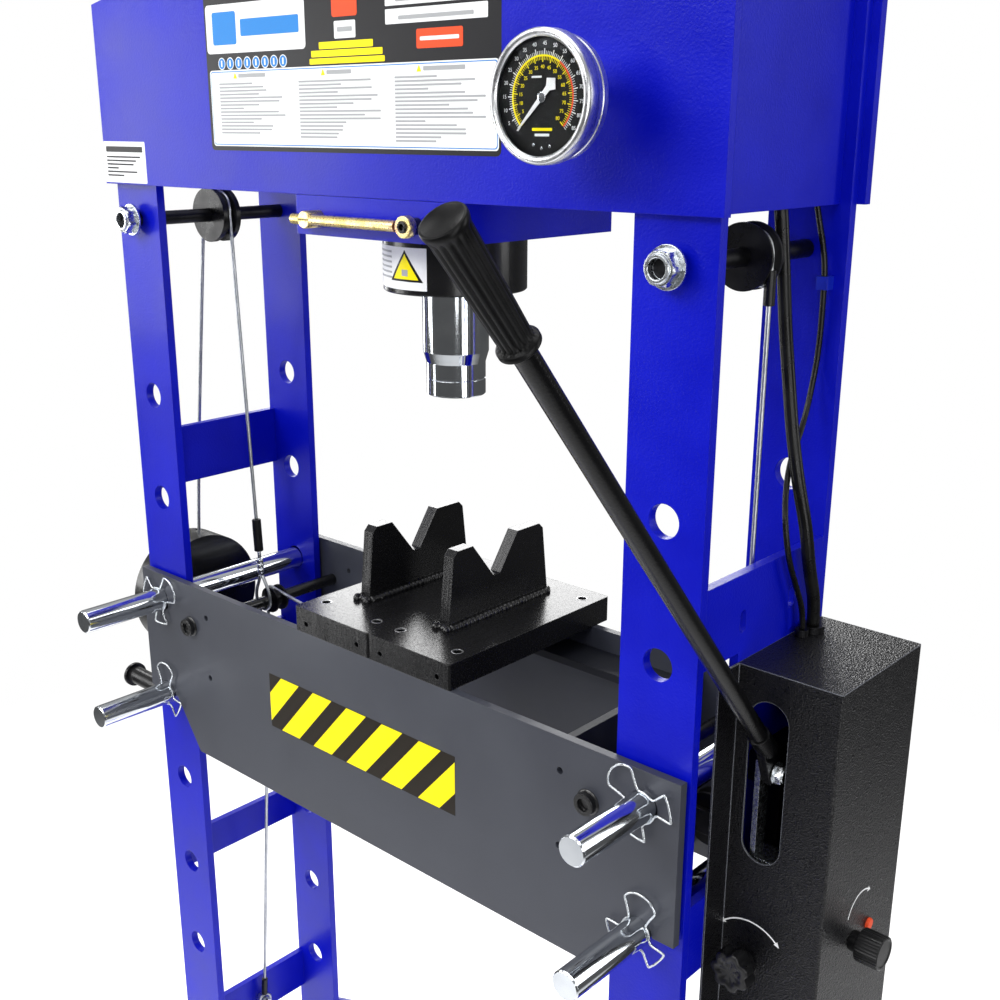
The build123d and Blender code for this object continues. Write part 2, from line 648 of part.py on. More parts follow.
with BuildPart() as pump_plunger:
    rod((LEVER_X, PLUNGER_Y, 820), (LEVER_X, PLUNGER_Y, 950), PLUNGER_R)
    block(489, LEVER_X + 9, -42, -11, 950, 962)
    block(489, 495, -42, -24, 962, 1070)
save(pump_plunger, "pump_plunger")

with BuildPart() as lever_socket:
    with BuildSketch(side_plane(LEVER_X - 5)):
        with BuildLine() as arm_line:
            Polyline(
                (PIVOT_Y + 14, PIVOT_Z - 8), (PIVOT_Y + 12, PIVOT_Z + 12), (-30, 1086), (-44, 1100),
                (-62, 1090), (LINK_BOLT[0] - 14, LINK_BOLT[1] + 2), (LINK_BOLT[0] - 8, LINK_BOLT[1] - 11),
                (LINK_BOLT[0] + 6, LINK_BOLT[1] - 13), (PIVOT_Y, PIVOT_Z - 15), close=True)
        make_face()
        with Locations((PIVOT_Y, PIVOT_Z)):
            Circle(7.08, mode=Mode.SUBTRACT)
    extrude(amount=10)
    rod((LEVER_X - 5, LINK_BOLT[0], LINK_BOLT[1]), (LEVER_X + 16, LINK_BOLT[0], LINK_BOLT[1]), 6)
    tube_way = (Vector(0, *GRIP_START) - Vector(0, *TUBE_START)).normalized()
    socket_base = Vector(LEVER_X, *TUBE_START)
    socket_top = socket_base + tube_way * 30
    rod(socket_base, socket_top, SOCKET_R)
    bore_base = socket_base + tube_way * 12
    rod(bore_base, (socket_top + tube_way), TUBE_R, mode=Mode.SUBTRACT)
save(lever_socket, "lever_socket")

GRIP_LENGTH = 114.0
tube_end = Vector(LEVER_X, *GRIP_START) + tube_way * (GRIP_LENGTH - 6)
with BuildPart() as lever_tube:
    rod(bore_base, tube_end, TUBE_R)
    rod(bore_base, tube_end, TUBE_R - 2.2, mode=Mode.SUBTRACT)
save(lever_tube, "lever_tube")

grip_base = Vector(LEVER_X, *GRIP_START)
with BuildPart() as lever_grip:
    rod(grip_base, (grip_base + tube_way * 5), 16.5)
    with Locations(Plane(origin=grip_base + tube_way * (GRIP_LENGTH / 2), z_dir=tube_way)):
        Cone(GRIP_R, GRIP_TOP_R, GRIP_LENGTH - 10)
    rod((tube_end + tube_way), (tube_end + tube_way * 5), GRIP_LIP_R)
    rod(grip_base, tube_end, TUBE_R, mode=Mode.SUBTRACT)
save(lever_grip, "lever_grip")


with BuildPart() as release_knob:
    with BuildSketch(Plane(origin=(RELEASE_X, -62, RELEASE_Z), x_dir=(1, 0, 0), z_dir=(0, -1, 0))):
        Circle(19)
        with PolarLocations(16.5, 7):
            Circle(6.5)
    extrude(amount=20)
    rod((RELEASE_X, -62, RELEASE_Z), (RELEASE_X, -50, RELEASE_Z), 11)
    rod((RELEASE_X, -50, RELEASE_Z), (RELEASE_X, -35, RELEASE_Z), 5)
save(release_knob, "release_knob")

with BuildPart() as selector_knob:
    rod((590, SELECTOR_Y, SELECTOR_Z), (616, SELECTOR_Y, SELECTOR_Z), 18)
    rod((579, SELECTOR_Y, SELECTOR_Z), (590, SELECTOR_Y, SELECTOR_Z), 11)
    rod((541, SELECTOR_Y, SELECTOR_Z), (579, SELECTOR_Y, SELECTOR_Z), 4)
save(selector_knob, "selector_knob")


# ---- Winch -------------------------------------------------------------------------------------
def gear_outline(teeth, phase, centre_y):
    """Straight-sided teeth about a shaft, with the first tooth centred on the phase angle."""
    pitch_r = GEAR_MODULE * teeth / 2
    step = 360.0 / teeth
    points = []
    for tooth in range(teeth):
        middle = phase + tooth * step
        for radius, share in (
                (pitch_r - 1.15 * GEAR_MODULE, -0.34), (pitch_r + 0.75 * GEAR_MODULE, -0.13),
                (pitch_r + 0.75 * GEAR_MODULE, 0.13), (pitch_r - 1.15 * GEAR_MODULE, 0.34)):
            angle = radians(middle + share * step)
            points.append((centre_y + radius * cos(angle), WINCH_Z + radius * sin(angle)))
    return points


GEAR_X0 = -499.0
GEAR_X1 = -490.0

with BuildPart() as winch_mount:
    block(-475, -465, -70, 80, 836, 922)
    block(-480, -475, -70, 80, 850, 940)
save(winch_mount, "winch_mount")

with BuildPart() as winch_case:
    rod((CASE_X0, WINCH_Y, WINCH_Z), (CASE_X1, WINCH_Y, WINCH_Z), WINCH_R)
    rod((CASE_X0 + 2, WINCH_Y, WINCH_Z), (CASE_X1 - 3, WINCH_Y, WINCH_Z), WINCH_R - 2, mode=Mode.SUBTRACT)
    rod((CASE_X0 - 1, CRANK_Y, WINCH_Z), (CASE_X1 + 1, CRANK_Y, WINCH_Z), 8.08, mode=Mode.SUBTRACT)
    rod((-520, 0, WINCH_Z + 60), (-520, 0, WINCH_Z + 100), 4.5, mode=Mode.SUBTRACT)
    rod((CASE_X0 + 2, WINCH_Y, WINCH_Z), (CASE_X1 - 3, WINCH_Y, WINCH_Z), 7)
save(winch_case, "winch_case")

with BuildPart() as winch_drum:
    with BuildSketch(side_plane(GEAR_X0)):
        with BuildLine():
            Polyline(*gear_outline(GEAR_TEETH, 0.0, WINCH_Y), close=True)
        make_face()
    extrude(amount=GEAR_X1 - GEAR_X0)
    rod((CASE_X0 + 3, WINCH_Y, WINCH_Z), (GEAR_X0, WINCH_Y, WINCH_Z), 15.0)
    rod((CASE_X0 + 3, WINCH_Y, WINCH_Z), (CASE_X0 + 5, WINCH_Y, WINCH_Z), 40)
    rod((CASE_X0, WINCH_Y, WINCH_Z), (CASE_X1, WINCH_Y, WINCH_Z), 7.08, mode=Mode.SUBTRACT)
save(winch_drum, "winch_drum")

with BuildPart() as winch_crank:
    with BuildSketch(side_plane(GEAR_X0)):
        with BuildLine():
            Polyline(*gear_outline(PINION_TEETH, 180.0 + 180.0 / PINION_TEETH, CRANK_Y), close=True)
        make_face()
    extrude(amount=GEAR_X1 - GEAR_X0)
    rod((-560, CRANK_Y, WINCH_Z), (-478, CRANK_Y, WINCH_Z), 8)
    with BuildSketch(side_plane(-560)):
        with Locations((CRANK_Y, WINCH_Z), (GRIP_Y, GRIP_Z)):
            Circle(13)
        with BuildLine():
            reach = Vector(GRIP_Y - CRANK_Y, GRIP_Z - WINCH_Z)
            across = Vector(-reach.Y, reach.X).normalized() * 13
            Polyline(
                (CRANK_Y + across.X, WINCH_Z + across.Y), (GRIP_Y + across.X, GRIP_Z + across.Y),
                (GRIP_Y - across.X, GRIP_Z - across.Y), (CRANK_Y - across.X, WINCH_Z - across.Y), close=True)
        make_face()
    extrude(amount=8)
    rod((-638, GRIP_Y, GRIP_Z), (-560, GRIP_Y, GRIP_Z), 5)
save(winch_crank, "winch_crank")

with BuildPart() as crank_grip:
    rod((-635, GRIP_Y, GRIP_Z), (-561, GRIP_Y, GRIP_Z), 14)
    rod((-640, GRIP_Y, GRIP_Z), (-635, GRIP_Y, GRIP_Z), 19)
    rod((-638.5, GRIP_Y, GRIP_Z), (-561, GRIP_Y, GRIP_Z), 5.08, mode=Mode.SUBTRACT)
save(crank_grip, "crank_grip")

# ---- Ropes -------------------------------------------------------------------------------------
# The lifting rope leaves the winch, goes over the left pulley and comes down to the left tie rod.
PULLEY_TOP_Z = SHAFT_Z + PULLEY_ROPE_R
SLEEVE_TOP = Vector(-360.6, -5.6, 1132)
LOOP_TOP = Vector(-353.0, -7.0, 1027)
rope_way = (LOOP_TOP - SLEEVE_TOP).normalized()
winch_rope = sweep_tube(
    [(-520, 0, 992), (-520, 0, 1083), (-445.8, PULLEY_ROPE_Y, PULLEY_TOP_Z),
     (-391.6, PULLEY_ROPE_Y, PULLEY_TOP_Z), SLEEVE_TOP],
    [400, ROPE_BEND_R, ROPE_BEND_R], ROPE_R, "winch_rope")
save(winch_rope, "winch_rope")

# The levelling rope hangs from the right spool, passes under the table's right roller and over the
# left tie rod's spool, and goes down to the left side frame's bottom brace.
SPOOL_ROPE_R = 25.5
SPOOL_ROPE_X = SIDE_X + SPOOL_ROPE_R
ROLLER_ROPE_R = 26.0
TIE_ROPE_R = 15.5
SLEEVE_R = 5.5
ANCHOR_SLEEVE_TOP = (-437.2, TIE_SPOOL_Y, 300)
levelling_rope = sweep_tube(
    [(SPOOL_ROPE_X - SLEEVE_R - 0.1, 0, SHAFT_Z - SPOOL_ROPE_R),
     (SIDE_X - SPOOL_ROPE_R, 0, SHAFT_Z - SPOOL_ROPE_R), (SIDE_X - SPOOL_ROPE_R, 0, SHAFT_Z + SPOOL_ROPE_R),
     (SPOOL_ROPE_X, 0, SHAFT_Z + SPOOL_ROPE_R), (SPOOL_ROPE_X, 0, 930.8),
     (-364.85, TIE_SPOOL_Y, 1025.2), ANCHOR_SLEEVE_TOP],
    [25.4, 25.4, 25.4, ROLLER_ROPE_R - 0.1, TIE_ROPE_R - 0.1], ROPE_R, "levelling_rope")
save(levelling_rope, "levelling_rope")

with BuildPart() as rope_fittings:
    rod((SPOOL_ROPE_X, 0, 1545), (SPOOL_ROPE_X, 0, 1512), SLEEVE_R)
    rod((SPOOL_ROPE_X, 0, 1546), (SPOOL_ROPE_X, 0, 1511), ROPE_R, mode=Mode.SUBTRACT)
    rod(SLEEVE_TOP, (SLEEVE_TOP + rope_way * 47), 6.5)
    rod((SLEEVE_TOP + rope_way * 47), (SLEEVE_TOP + rope_way * 59), ROPE_R)
    rod((SLEEVE_TOP + rope_way * 59), (SLEEVE_TOP + rope_way * 80), 5)
    rod((SLEEVE_TOP + rope_way * 80), (LOOP_TOP + rope_way * 2), ROPE_R)
    with BuildSketch(Plane(origin=(-352, -9.5, 1010), x_dir=(1, 0, 0), z_dir=(0, 1, 0))):
        Circle(17.5)
        Circle(12.5, mode=Mode.SUBTRACT)
    extrude(amount=5)
    rod(ANCHOR_SLEEVE_TOP, (-440.4, TIE_SPOOL_Y, 268), 5)
    with BuildSketch(side_plane(-443.5)):
        with Locations((TIE_SPOOL_Y, 254)):
            Circle(15)
            Circle(8, mode=Mode.SUBTRACT)
    extrude(amount=5)
    rod((-455, TIE_SPOOL_Y, 254), (-430, TIE_SPOOL_Y, 254), 7.5)
save(rope_fittings, "rope_fittings")

# ---- Hoses -------------------------------------------------------------------------------------
HOSE_POINTS = [
    (479, 74, GLAND_TOP), (479, 74, 1203), (477, 60, 1243), (475.5, 50, 1288), (467, 44.5, 1330),
    (455, 46, 1380), (445.5, 48.5, 1432), (440.5, 43, 1485), (438.5, 36, 1538), (436, 30, 1590),
    (429, 28, 1640), (404, 34, 1688), (376, 52, 1732), (338, 70, 1762), (296, 74, 1780), (250, 54, 1784),
    (214, 26, 1776), (186, 0, PORT_Z), (PORT_X, 0, PORT_Z)]
hydraulic_hose = tube_along(HOSE_POINTS, HOSE_R, "hydraulic_hose")
save(hydraulic_hose, "hydraulic_hose")

THIN_HOSE_POINTS = [
    (477, 55, GLAND_TOP), (477, 55, 1196), (475.5, 40, 1226), (474.5, 22, 1259), (472, 15, 1292),
    (462, 27, 1322), (449, 55, 1351), (445, 83, 1380), (443.5, 99, 1418), (446, 103, 1458), (447, 102, 1504),
    (446, 102, 1548), (435, 99, 1594), (432, 91, 1634), (433, 68, 1668), (433, 32, 1690), (422, -2, 1698),
    (394, -20, 1698), (358, -36, 1697), (GAUGE_X, -72, GAUGE_Z), (GAUGE_X, -117, GAUGE_Z)]
gauge_hose = tube_along(THIN_HOSE_POINTS, THIN_HOSE_R, "gauge_hose")
save(gauge_hose, "gauge_hose")

with BuildPart() as hose_clip:
    block(441, 453, 96, 109, 1518, 1531)
    rod((446.6, 102, 1517), (446.6, 102, 1532), THIN_HOSE_R + 0.8, mode=Mode.SUBTRACT)
save(hose_clip, "hose_clip")
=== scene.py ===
"""Looks of the hydraulic shop press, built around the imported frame. Lengths below are in millimetres
and become metres where a mesh or a curve is made. +Z is up, +X is the pump side, -Y is the front."""
import json
from math import cos, pi, radians, sin, sqrt

import bpy
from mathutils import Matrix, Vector, noise


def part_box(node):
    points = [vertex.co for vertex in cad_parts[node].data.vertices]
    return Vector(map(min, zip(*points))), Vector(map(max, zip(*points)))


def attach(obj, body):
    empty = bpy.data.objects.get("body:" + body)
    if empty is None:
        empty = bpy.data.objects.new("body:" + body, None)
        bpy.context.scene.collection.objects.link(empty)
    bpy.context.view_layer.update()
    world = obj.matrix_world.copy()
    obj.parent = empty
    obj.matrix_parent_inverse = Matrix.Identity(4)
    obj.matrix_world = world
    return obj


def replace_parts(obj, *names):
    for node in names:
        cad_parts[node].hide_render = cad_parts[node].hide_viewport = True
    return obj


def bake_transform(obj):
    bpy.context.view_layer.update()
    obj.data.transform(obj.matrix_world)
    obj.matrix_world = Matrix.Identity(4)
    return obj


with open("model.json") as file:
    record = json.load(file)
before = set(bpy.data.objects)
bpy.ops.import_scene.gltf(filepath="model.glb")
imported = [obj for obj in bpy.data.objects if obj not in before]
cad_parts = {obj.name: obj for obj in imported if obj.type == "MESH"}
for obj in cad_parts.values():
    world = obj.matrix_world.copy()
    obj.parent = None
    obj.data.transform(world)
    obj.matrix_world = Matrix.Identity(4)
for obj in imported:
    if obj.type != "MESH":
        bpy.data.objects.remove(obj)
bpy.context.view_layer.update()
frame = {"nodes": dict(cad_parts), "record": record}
nodes = frame["nodes"]
MM = 0.001

# ---- Driving places, the same as the CAD's ------------------------------------------------------
SIDE_X = 420.0
HEAD_FACE_Y = -130.0
TABLE_FACE_Y = -134.0
SHAFT_Z = 1556.0
RAM_X = 37.0
CYLINDER_R = 82.5
GAUGE_X = 335.5
GAUGE_Z = 1696.0
UPPER_PIN_Z = 1031.55
LOWER_PIN_Z = 886.55
BOX_FRONT_Y = -47.5
BOX_RIGHT_X = 578.0
RELEASE_KNOB = (499, 845)
SELECTOR_KNOB = (36, 893)
LEVER_X = 505.0
TIE_X = 351
TIE_Z = 1008
HANDLE_Z = 1575
HANDLE_BOLT = (109, 0, HANDLE_Z)


# ---- Meshes -------------------------------------------------------------------------------------
def piece(name, verts, faces, body, material, smooth=False):
    """A mesh object from millimetre vertices, riding on its body."""
    mesh = bpy.data.meshes.new(name)
    mesh.from_pydata([(v[0] * MM, v[1] * MM, v[2] * MM) for v in verts], [], faces)
    mesh.validate()
    mesh.polygons.foreach_set("use_smooth", [smooth] * len(mesh.polygons))
    mesh.materials.append(material)
    obj = bpy.data.objects.new(name, mesh)
    bpy.context.scene.collection.objects.link(obj)
    if body:
        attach(obj, body)
    return obj


class Build:
    """Collects vertices and faces for one piece."""

    def __init__(self):
        self.verts = []
        self.faces = []

    def add(self, verts, faces):
        start = len(self.verts)
        self.verts.extend([tuple(v) for v in verts])
        self.faces.extend([tuple(start + i for i in face) for face in faces])

    def rings(self, rings, close_ends=True, cyclic=False):
        """Skins a list of equally long rings."""
        count = len(rings[0])
        verts = [v for ring in rings for v in ring]
        faces = []
        total = len(rings)
        for i in range(total if cyclic else total - 1):
            a = i * count
            b = ((i + 1) % total) * count
            for k in range(count):
                n = (k + 1) % count
                faces.append((a + k, a + n, b + n, b + k))
        if close_ends and not cyclic:
            faces.append(tuple(reversed(range(count))))
            faces.append(tuple(range((total - 1) * count, total * count)))
        self.add(verts, faces)

    def prism(self, outline, place, low, high):
        """A thin slab: a 2-D outline between two heights, mapped by place(u, v, h)."""
        count = len(outline)
        verts = [place(u, v, low) for u, v in outline] + [place(u, v, high) for u, v in outline]
        faces = [(k, (k + 1) % count, count + (k + 1) % count, count + k) for k in range(count)]
        faces.append(tuple(reversed(range(count))))
        faces.append(tuple(range(count, 2 * count)))
        self.add(verts, faces)

    def lathe(self, profile, origin, axis, sides=48, closed=False):
        """Turns (radius, height) points about an axis; a closed profile makes a ring."""
        side, up, way = basis(axis)
        origin = Vector(origin)
        self.rings([circle(origin + way * height, side, up, sides, lambda a: max(radius, 0.01))
                    for radius, height in profile], cyclic=closed)

    def make(self, name, body, slot_name, material, smooth=False):
        return piece(name, self.verts, self.faces, body, material, smooth)


def basis(axis):
    """Two directions square to an axis, and the axis itself, all of unit length."""
    way = Vector(axis).normalized()
    helper = Vector((0, 0, 1)) if abs(way.z) < 0.9 else Vector((1, 0, 0))
    side = way.cross(helper).normalized()
    return side, side.cross(way) * -1, way


def circle(centre, side, up, sides, radius, turn=0.0):
    """Points round a centre; radius(angle) may change on the way round."""
    angles = [2 * pi * k / sides for k in range(sides)]
    return [centre + (side * cos(a + turn) + up * sin(a + turn)) * radius(a) for a in angles]


def smooth_by_angle(obj, degrees=35):
    """Smooth shading with sharp edges kept where faces turn by more than the angle."""
    mesh = obj.data
    mesh.polygons.foreach_set("use_smooth", [True] * len(mesh.polygons))
    mesh.set_sharp_from_angle(angle=radians(degrees))
    return obj


def route_points(name, points):
    """Points along the NURBS spline whose control points are given in metres."""
    curve = bpy.data.curves.new(name + "_route", "CURVE")
    curve.dimensions = "3D"
    curve.resolution_u = 16
    spline = curve.splines.new("NURBS")
    spline.points.add(len(points) - 1)
    for point, place in zip(spline.points, points):
        point.co = (*place, 1)
    spline.order_u = 3
    spline.use_endpoint_u = True
    carrier = bpy.data.objects.new(name + "_route", curve)
    bpy.context.scene.collection.objects.link(carrier)
    bpy.context.view_layer.update()
    mesh = bpy.data.meshes.new_from_object(carrier.evaluated_get(bpy.context.evaluated_depsgraph_get()))
    line = [vert.co.copy() for vert in mesh.vertices]
    bpy.data.objects.remove(carrier)
    bpy.data.curves.remove(curve)
    bpy.data.meshes.remove(mesh)
    return line


def spaced(line, step):
    """The same line with its points about one step apart."""
    out = [line[0]]
    for a, b in zip(line, line[1:]):
        parts = max(1, round((b - a).length / step))
        for k in range(1, parts + 1):
            out.append(a.lerp(b, k / parts))
    return out


def cord_piece(line, section, sides):
    """A mesh tube along a line in metres; section(distance, angle) gives its radius in metres."""
    build = Build()
    rings = []
    tangent = (line[1] - line[0]).normalized()
    side = basis(tangent)[0]
    travelled = 0.0
    for i, here in enumerate(line):
        ahead = line[min(i + 1, len(line) - 1)]
        behind = line[max(i - 1, 0)]
        tangent = (ahead - behind).normalized()
        side = (side - tangent * side.dot(tangent)).normalized()
        up = tangent.cross(side)
        if i:
            travelled += (here - line[i - 1]).length
        ring = circle(here, side, up, sides, lambda a: section(travelled, a))
        rings.append([spot / MM for spot in ring])
    build.rings(rings)
    return build


def wire(name, points, radius, body, material, cyclic=False):
    """A round wire through millimetre points."""
    curve = bpy.data.curves.new(name, "CURVE")
    curve.dimensions = "3D"
    curve.resolution_u = 6
    curve.bevel_depth = radius * MM
    curve.bevel_resolution = 3
    curve.use_fill_caps = True
    spline = curve.splines.new("POLY")
    spline.points.add(len(points) - 1)
    for point, place in zip(spline.points, points):
        point.co = (place[0] * MM, place[1] * MM, place[2] * MM, 1)
    spline.use_cyclic_u = cyclic
    curve.materials.append(material)
    obj = bpy.data.objects.new(name, curve)
    bpy.context.scene.collection.objects.link(obj)
    bpy.context.view_layer.update()
    mesh = bpy.data.meshes.new_from_object(obj.evaluated_get(bpy.context.evaluated_depsgraph_get()))
    bpy.data.objects.remove(obj)
    made = bpy.data.objects.new(name, mesh)
    bpy.context.scene.collection.objects.link(made)
    mesh.polygons.foreach_set("use_smooth", [True] * len(mesh.polygons))
    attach(made, body)
    return made


# ---- Outlines -----------------------------------------------------------------------------------
def plain_box(x0, x1, z0, z1):
    return [(x0, z0), (x1, z0), (x1, z1), (x0, z1)]


def rounded_box(u0, u1, v0, v1, r=3.0, steps=5):
    corners = ((u1 - r, v1 - r, 0), (u0 + r, v1 - r, 90), (u0 + r, v0 + r, 180), (u1 - r, v0 + r, 270))
    outline = []
    for u, v, start in corners:
        for k in range(steps + 1):
            a = radians(start + 90 * k / steps)
            outline.append((u + r * cos(a), v + r * sin(a)))
    return outline


def disc(u, v, r, steps=28):
    return [(u + r * cos(2 * pi * k / steps), v + r * sin(2 * pi * k / steps)) for k in range(steps)]


def triangle(u, v, half, height):
    """An upright triangle with its base's middle at (u, v)."""
    return [(u - half, v), (u + half, v), (u + 0.6, v + height), (u - 0.6, v + height)]


def arc_strip(u, v, r0, r1, start, end, steps=24):
    """Quads of a band between two radii; angles in degrees."""
    quads = []
    for k in range(steps):
        a = radians(start + (end - start) * k / steps)
        b = radians(start + (end - start) * (k + 1) / steps)
        quads.append([
            (u + r0 * cos(a), v + r0 * sin(a)), (u + r1 * cos(a), v + r1 * sin(a)),
            (u + r1 * cos(b), v + r1 * sin(b)), (u + r0 * cos(b), v + r0 * sin(b))])
    return quads


def on_front(y):
    """Maps art onto a face that looks to the front."""
    return lambda u, v, h: (u, y - h, v)


def on_right(x):
    """Maps art onto a face that looks to the right."""
    return lambda u, v, h: (x + h, u, v)


# ---- Materials ----------------------------------------------------------------------------------
def start_material(name):
    material = bpy.data.materials.new(name)
    material.use_nodes = True
    tree = material.node_tree
    return material, tree, tree.nodes["Principled BSDF"]


def node(tree, kind, values=(), links=(), **settings):
    """A shader node with its settings, its input values and its incoming links."""
    made = tree.nodes.new("ShaderNode" + kind)
    for key, value in settings.items():
        setattr(made, key, value)
    for key, value in values:
        made.inputs[key].default_value = value
    for key, source in links:
        tree.links.new(source, made.inputs[key])
    return made


def object_noise(tree, scale, detail=3.0, stretch=None):
    source = node(tree, "TexCoord").outputs["Object"]
    if stretch:
        source = node(tree, "Mapping", [("Scale", stretch)], [("Vector", source)]).outputs["Vector"]
    return node(tree, "TexNoise", [("Scale", scale), ("Detail", detail), ("Roughness", 0.55)],
                [("Vector", source)]).outputs["Fac"]


def ramp(tree, source, low, high, from_low=0.3, from_high=0.7):
    limits = [("From Min", from_low), ("From Max", from_high), ("To Min", low), ("To Max", high)]
    return node(tree, "MapRange", limits, [("Value", source)]).outputs["Result"]


def vary_colour(tree, shader, source, dark, light):
    mix = node(tree, "Mix", data_type="RGBA")
    mix.inputs["A"].default_value = (*dark, 1)
    mix.inputs["B"].default_value = (*light, 1)
    tree.links.new(source, mix.inputs["Factor"])
    tree.links.new(mix.outputs["Result"], shader.inputs["Base Color"])


def vary_rough(tree, shader, source, low, high):
    tree.links.new(ramp(tree, source, low, high), shader.inputs["Roughness"])


def bumps(tree, shader, layers, edge=0.0):
    """Chains bump layers (height output, distance in metres, strength), over rounded edges."""
    normal = None
    if edge:
        normal = node(tree, "Bevel", [("Radius", edge)], samples=4).outputs["Normal"]
    for height, distance, strength in layers:
        below = [("Normal", normal)] if normal is not None else []
        normal = node(tree, "Bump", [("Distance", distance), ("Strength", strength)],
                      [("Height", height)] + below).outputs["Normal"]
    tree.links.new(normal, shader.inputs["Normal"])


def paint(name, dark, light, rough, peel_scale, peel_depth, coat=0.3, edge=0.0012, strength=0.35, level=0.5):
    """Powder coat: orange peel, a little cloudiness in colour and gloss."""
    material, tree, shader = start_material(name)
    cloud = object_noise(tree, 9.0)
    peel = object_noise(tree, peel_scale, detail=2.0)
    vary_colour(tree, shader, ramp(tree, cloud, 0, 1), dark, light)
    vary_rough(tree, shader, cloud, rough - 0.05, rough + 0.05)
    shader.inputs["Specular IOR Level"].default_value = level
    shader.inputs["Coat Weight"].default_value = coat
    shader.inputs["Coat Roughness"].default_value = 0.12
    bumps(tree, shader, [(peel, peel_depth, strength)], edge)
    return material


def worn_edges(tree, shader, reach, colour):
    """Lightens the base colour where rounded edges turn away from the flat faces: a painted highlight along the
    edges.
    """
    bevel = node(tree, "Bevel", [("Radius", reach)], samples=6).outputs["Normal"]
    turn = node(tree, "VectorMath", operation="DOT_PRODUCT")
    tree.links.new(bevel, turn.inputs[0])
    tree.links.new(node(tree, "NewGeometry").outputs["Normal"], turn.inputs[1])
    mix = node(tree, "Mix", data_type="RGBA")
    tree.links.new(ramp(tree, turn.outputs["Value"], 1, 0, 0.78, 0.97), mix.inputs["Factor"])
    tree.links.new(shader.inputs["Base Color"].links[0].from_socket, mix.inputs["A"])
    mix.inputs["B"].default_value = (*colour, 1)
    tree.links.new(mix.outputs["Result"], shader.inputs["Base Color"])


def hammered(name):
    """Hammered black powder coat: small round dimples with narrow ridges."""
    material, tree, shader = start_material(name)
    cells = node(tree, "TexVoronoi", feature="SMOOTH_F1")
    cells.inputs["Scale"].default_value = 600.0
    cells.inputs["Smoothness"].default_value = 0.6
    tree.links.new(node(tree, "TexCoord").outputs["Object"], cells.inputs["Vector"])
    cloud = object_noise(tree, 300.0, detail=2.0)
    vary_colour(tree, shader, ramp(tree, cloud, 0, 1), (0.002, 0.002, 0.003), (0.005, 0.005, 0.006))
    vary_rough(tree, shader, cloud, 0.26, 0.36)
    shader.inputs["Specular IOR Level"].default_value = 0.3
    # Edges lightened to a pale grey: a painted highlight along the box's edges.
    worn_edges(tree, shader, 0.0022, (0.20, 0.21, 0.24))
    bumps(tree, shader, [(cells.outputs["Distance"], 0.0012, 0.7), (cloud, 0.0004, 0.25)], 0.0015)
    return material


def sawn(name):
    """Gloss black over sawn faces: upright saw marks on the front and rear, orange peel elsewhere."""
    material, tree, shader = start_material(name)
    peel = object_noise(tree, 420.0, detail=2.0)
    saw = object_noise(tree, 1.0, detail=2.0, stretch=(900, 2, 5))
    split = node(tree, "SeparateXYZ", links=[("Vector", node(tree, "NewGeometry").outputs["Normal"])])
    size = node(tree, "Math", links=[(0, split.outputs["Y"])], operation="ABSOLUTE")
    facing = ramp(tree, size.outputs["Value"], 0, 1, 0.7, 0.9)
    marks = node(tree, "Math", links=[(0, facing), (1, saw)], operation="MULTIPLY")
    vary_colour(tree, shader, ramp(tree, saw, 0, 1), DEEP_BLACK, SOFT_BLACK)
    vary_rough(tree, shader, peel, 0.20, 0.30)
    shader.inputs["Specular IOR Level"].default_value = 0.4
    bumps(tree, shader, [(marks.outputs["Value"], 0.0004, 0.6), (peel, 0.0004, 0.25)], 0.0012)
    return material


def metal(name, dark, light, rough, grain_scale=260.0, stretch=(1, 1, 1), grain_depth=0.00008, edge=0.0006):
    """Bare or plated metal with a fine directional grain."""
    material, tree, shader = start_material(name)
    grain = object_noise(tree, grain_scale, stretch=stretch)
    vary_colour(tree, shader, ramp(tree, object_noise(tree, 26.0), 0, 1), dark, light)
    shader.inputs["Metallic"].default_value = 1.0
    vary_rough(tree, shader, grain, rough * 0.75, rough * 1.3)
    bumps(tree, shader, [(grain, grain_depth, 0.3)], edge)
    return material


def moulded(name, dark, light, rough, scale=900.0, depth=0.00012, edge=0.0008, level=0.28):
    """Moulded plastic or rubber with a fine spark-eroded grain."""
    material, tree, shader = start_material(name)
    shader.inputs["Specular IOR Level"].default_value = level
    grain = object_noise(tree, scale, detail=2.0)
    cloud = object_noise(tree, 40.0)
    vary_colour(tree, shader, ramp(tree, cloud, 0, 1), dark, light)
    vary_rough(tree, shader, cloud, rough - 0.06, rough + 0.06)
    bumps(tree, shader, [(grain, depth, 0.4)], edge)
    return material


def passivated(name):
    """Yellow passivated zinc: straw gold that drifts towards green and pink."""
    material, tree, shader = start_material(name)
    colours = node(tree, "ValToRGB")
    stops = ((0.25, (0.55, 0.50, 0.16)), (0.42, (0.80, 0.62, 0.24)), (0.55, (0.86, 0.70, 0.36)),
             (0.68, (0.78, 0.48, 0.30)), (0.80, (0.62, 0.60, 0.30)))
    elements = colours.color_ramp.elements
    elements[0].position, elements[0].color = stops[0][0], (*stops[0][1], 1)
    elements[1].position, elements[1].color = stops[-1][0], (*stops[-1][1], 1)
    for position, colour in stops[1:-1]:
        elements.new(position).color = (*colour, 1)
    tree.links.new(object_noise(tree, 34.0, detail=2.0), colours.inputs["Fac"])
    tree.links.new(colours.outputs["Color"], shader.inputs["Base Color"])
    shader.inputs["Metallic"].default_value = 1.0
    fine = object_noise(tree, 500.0)
    vary_rough(tree, shader, fine, 0.2, 0.36)
    bumps(tree, shader, [(fine, 0.0001, 0.3)], 0.0006)
    return material


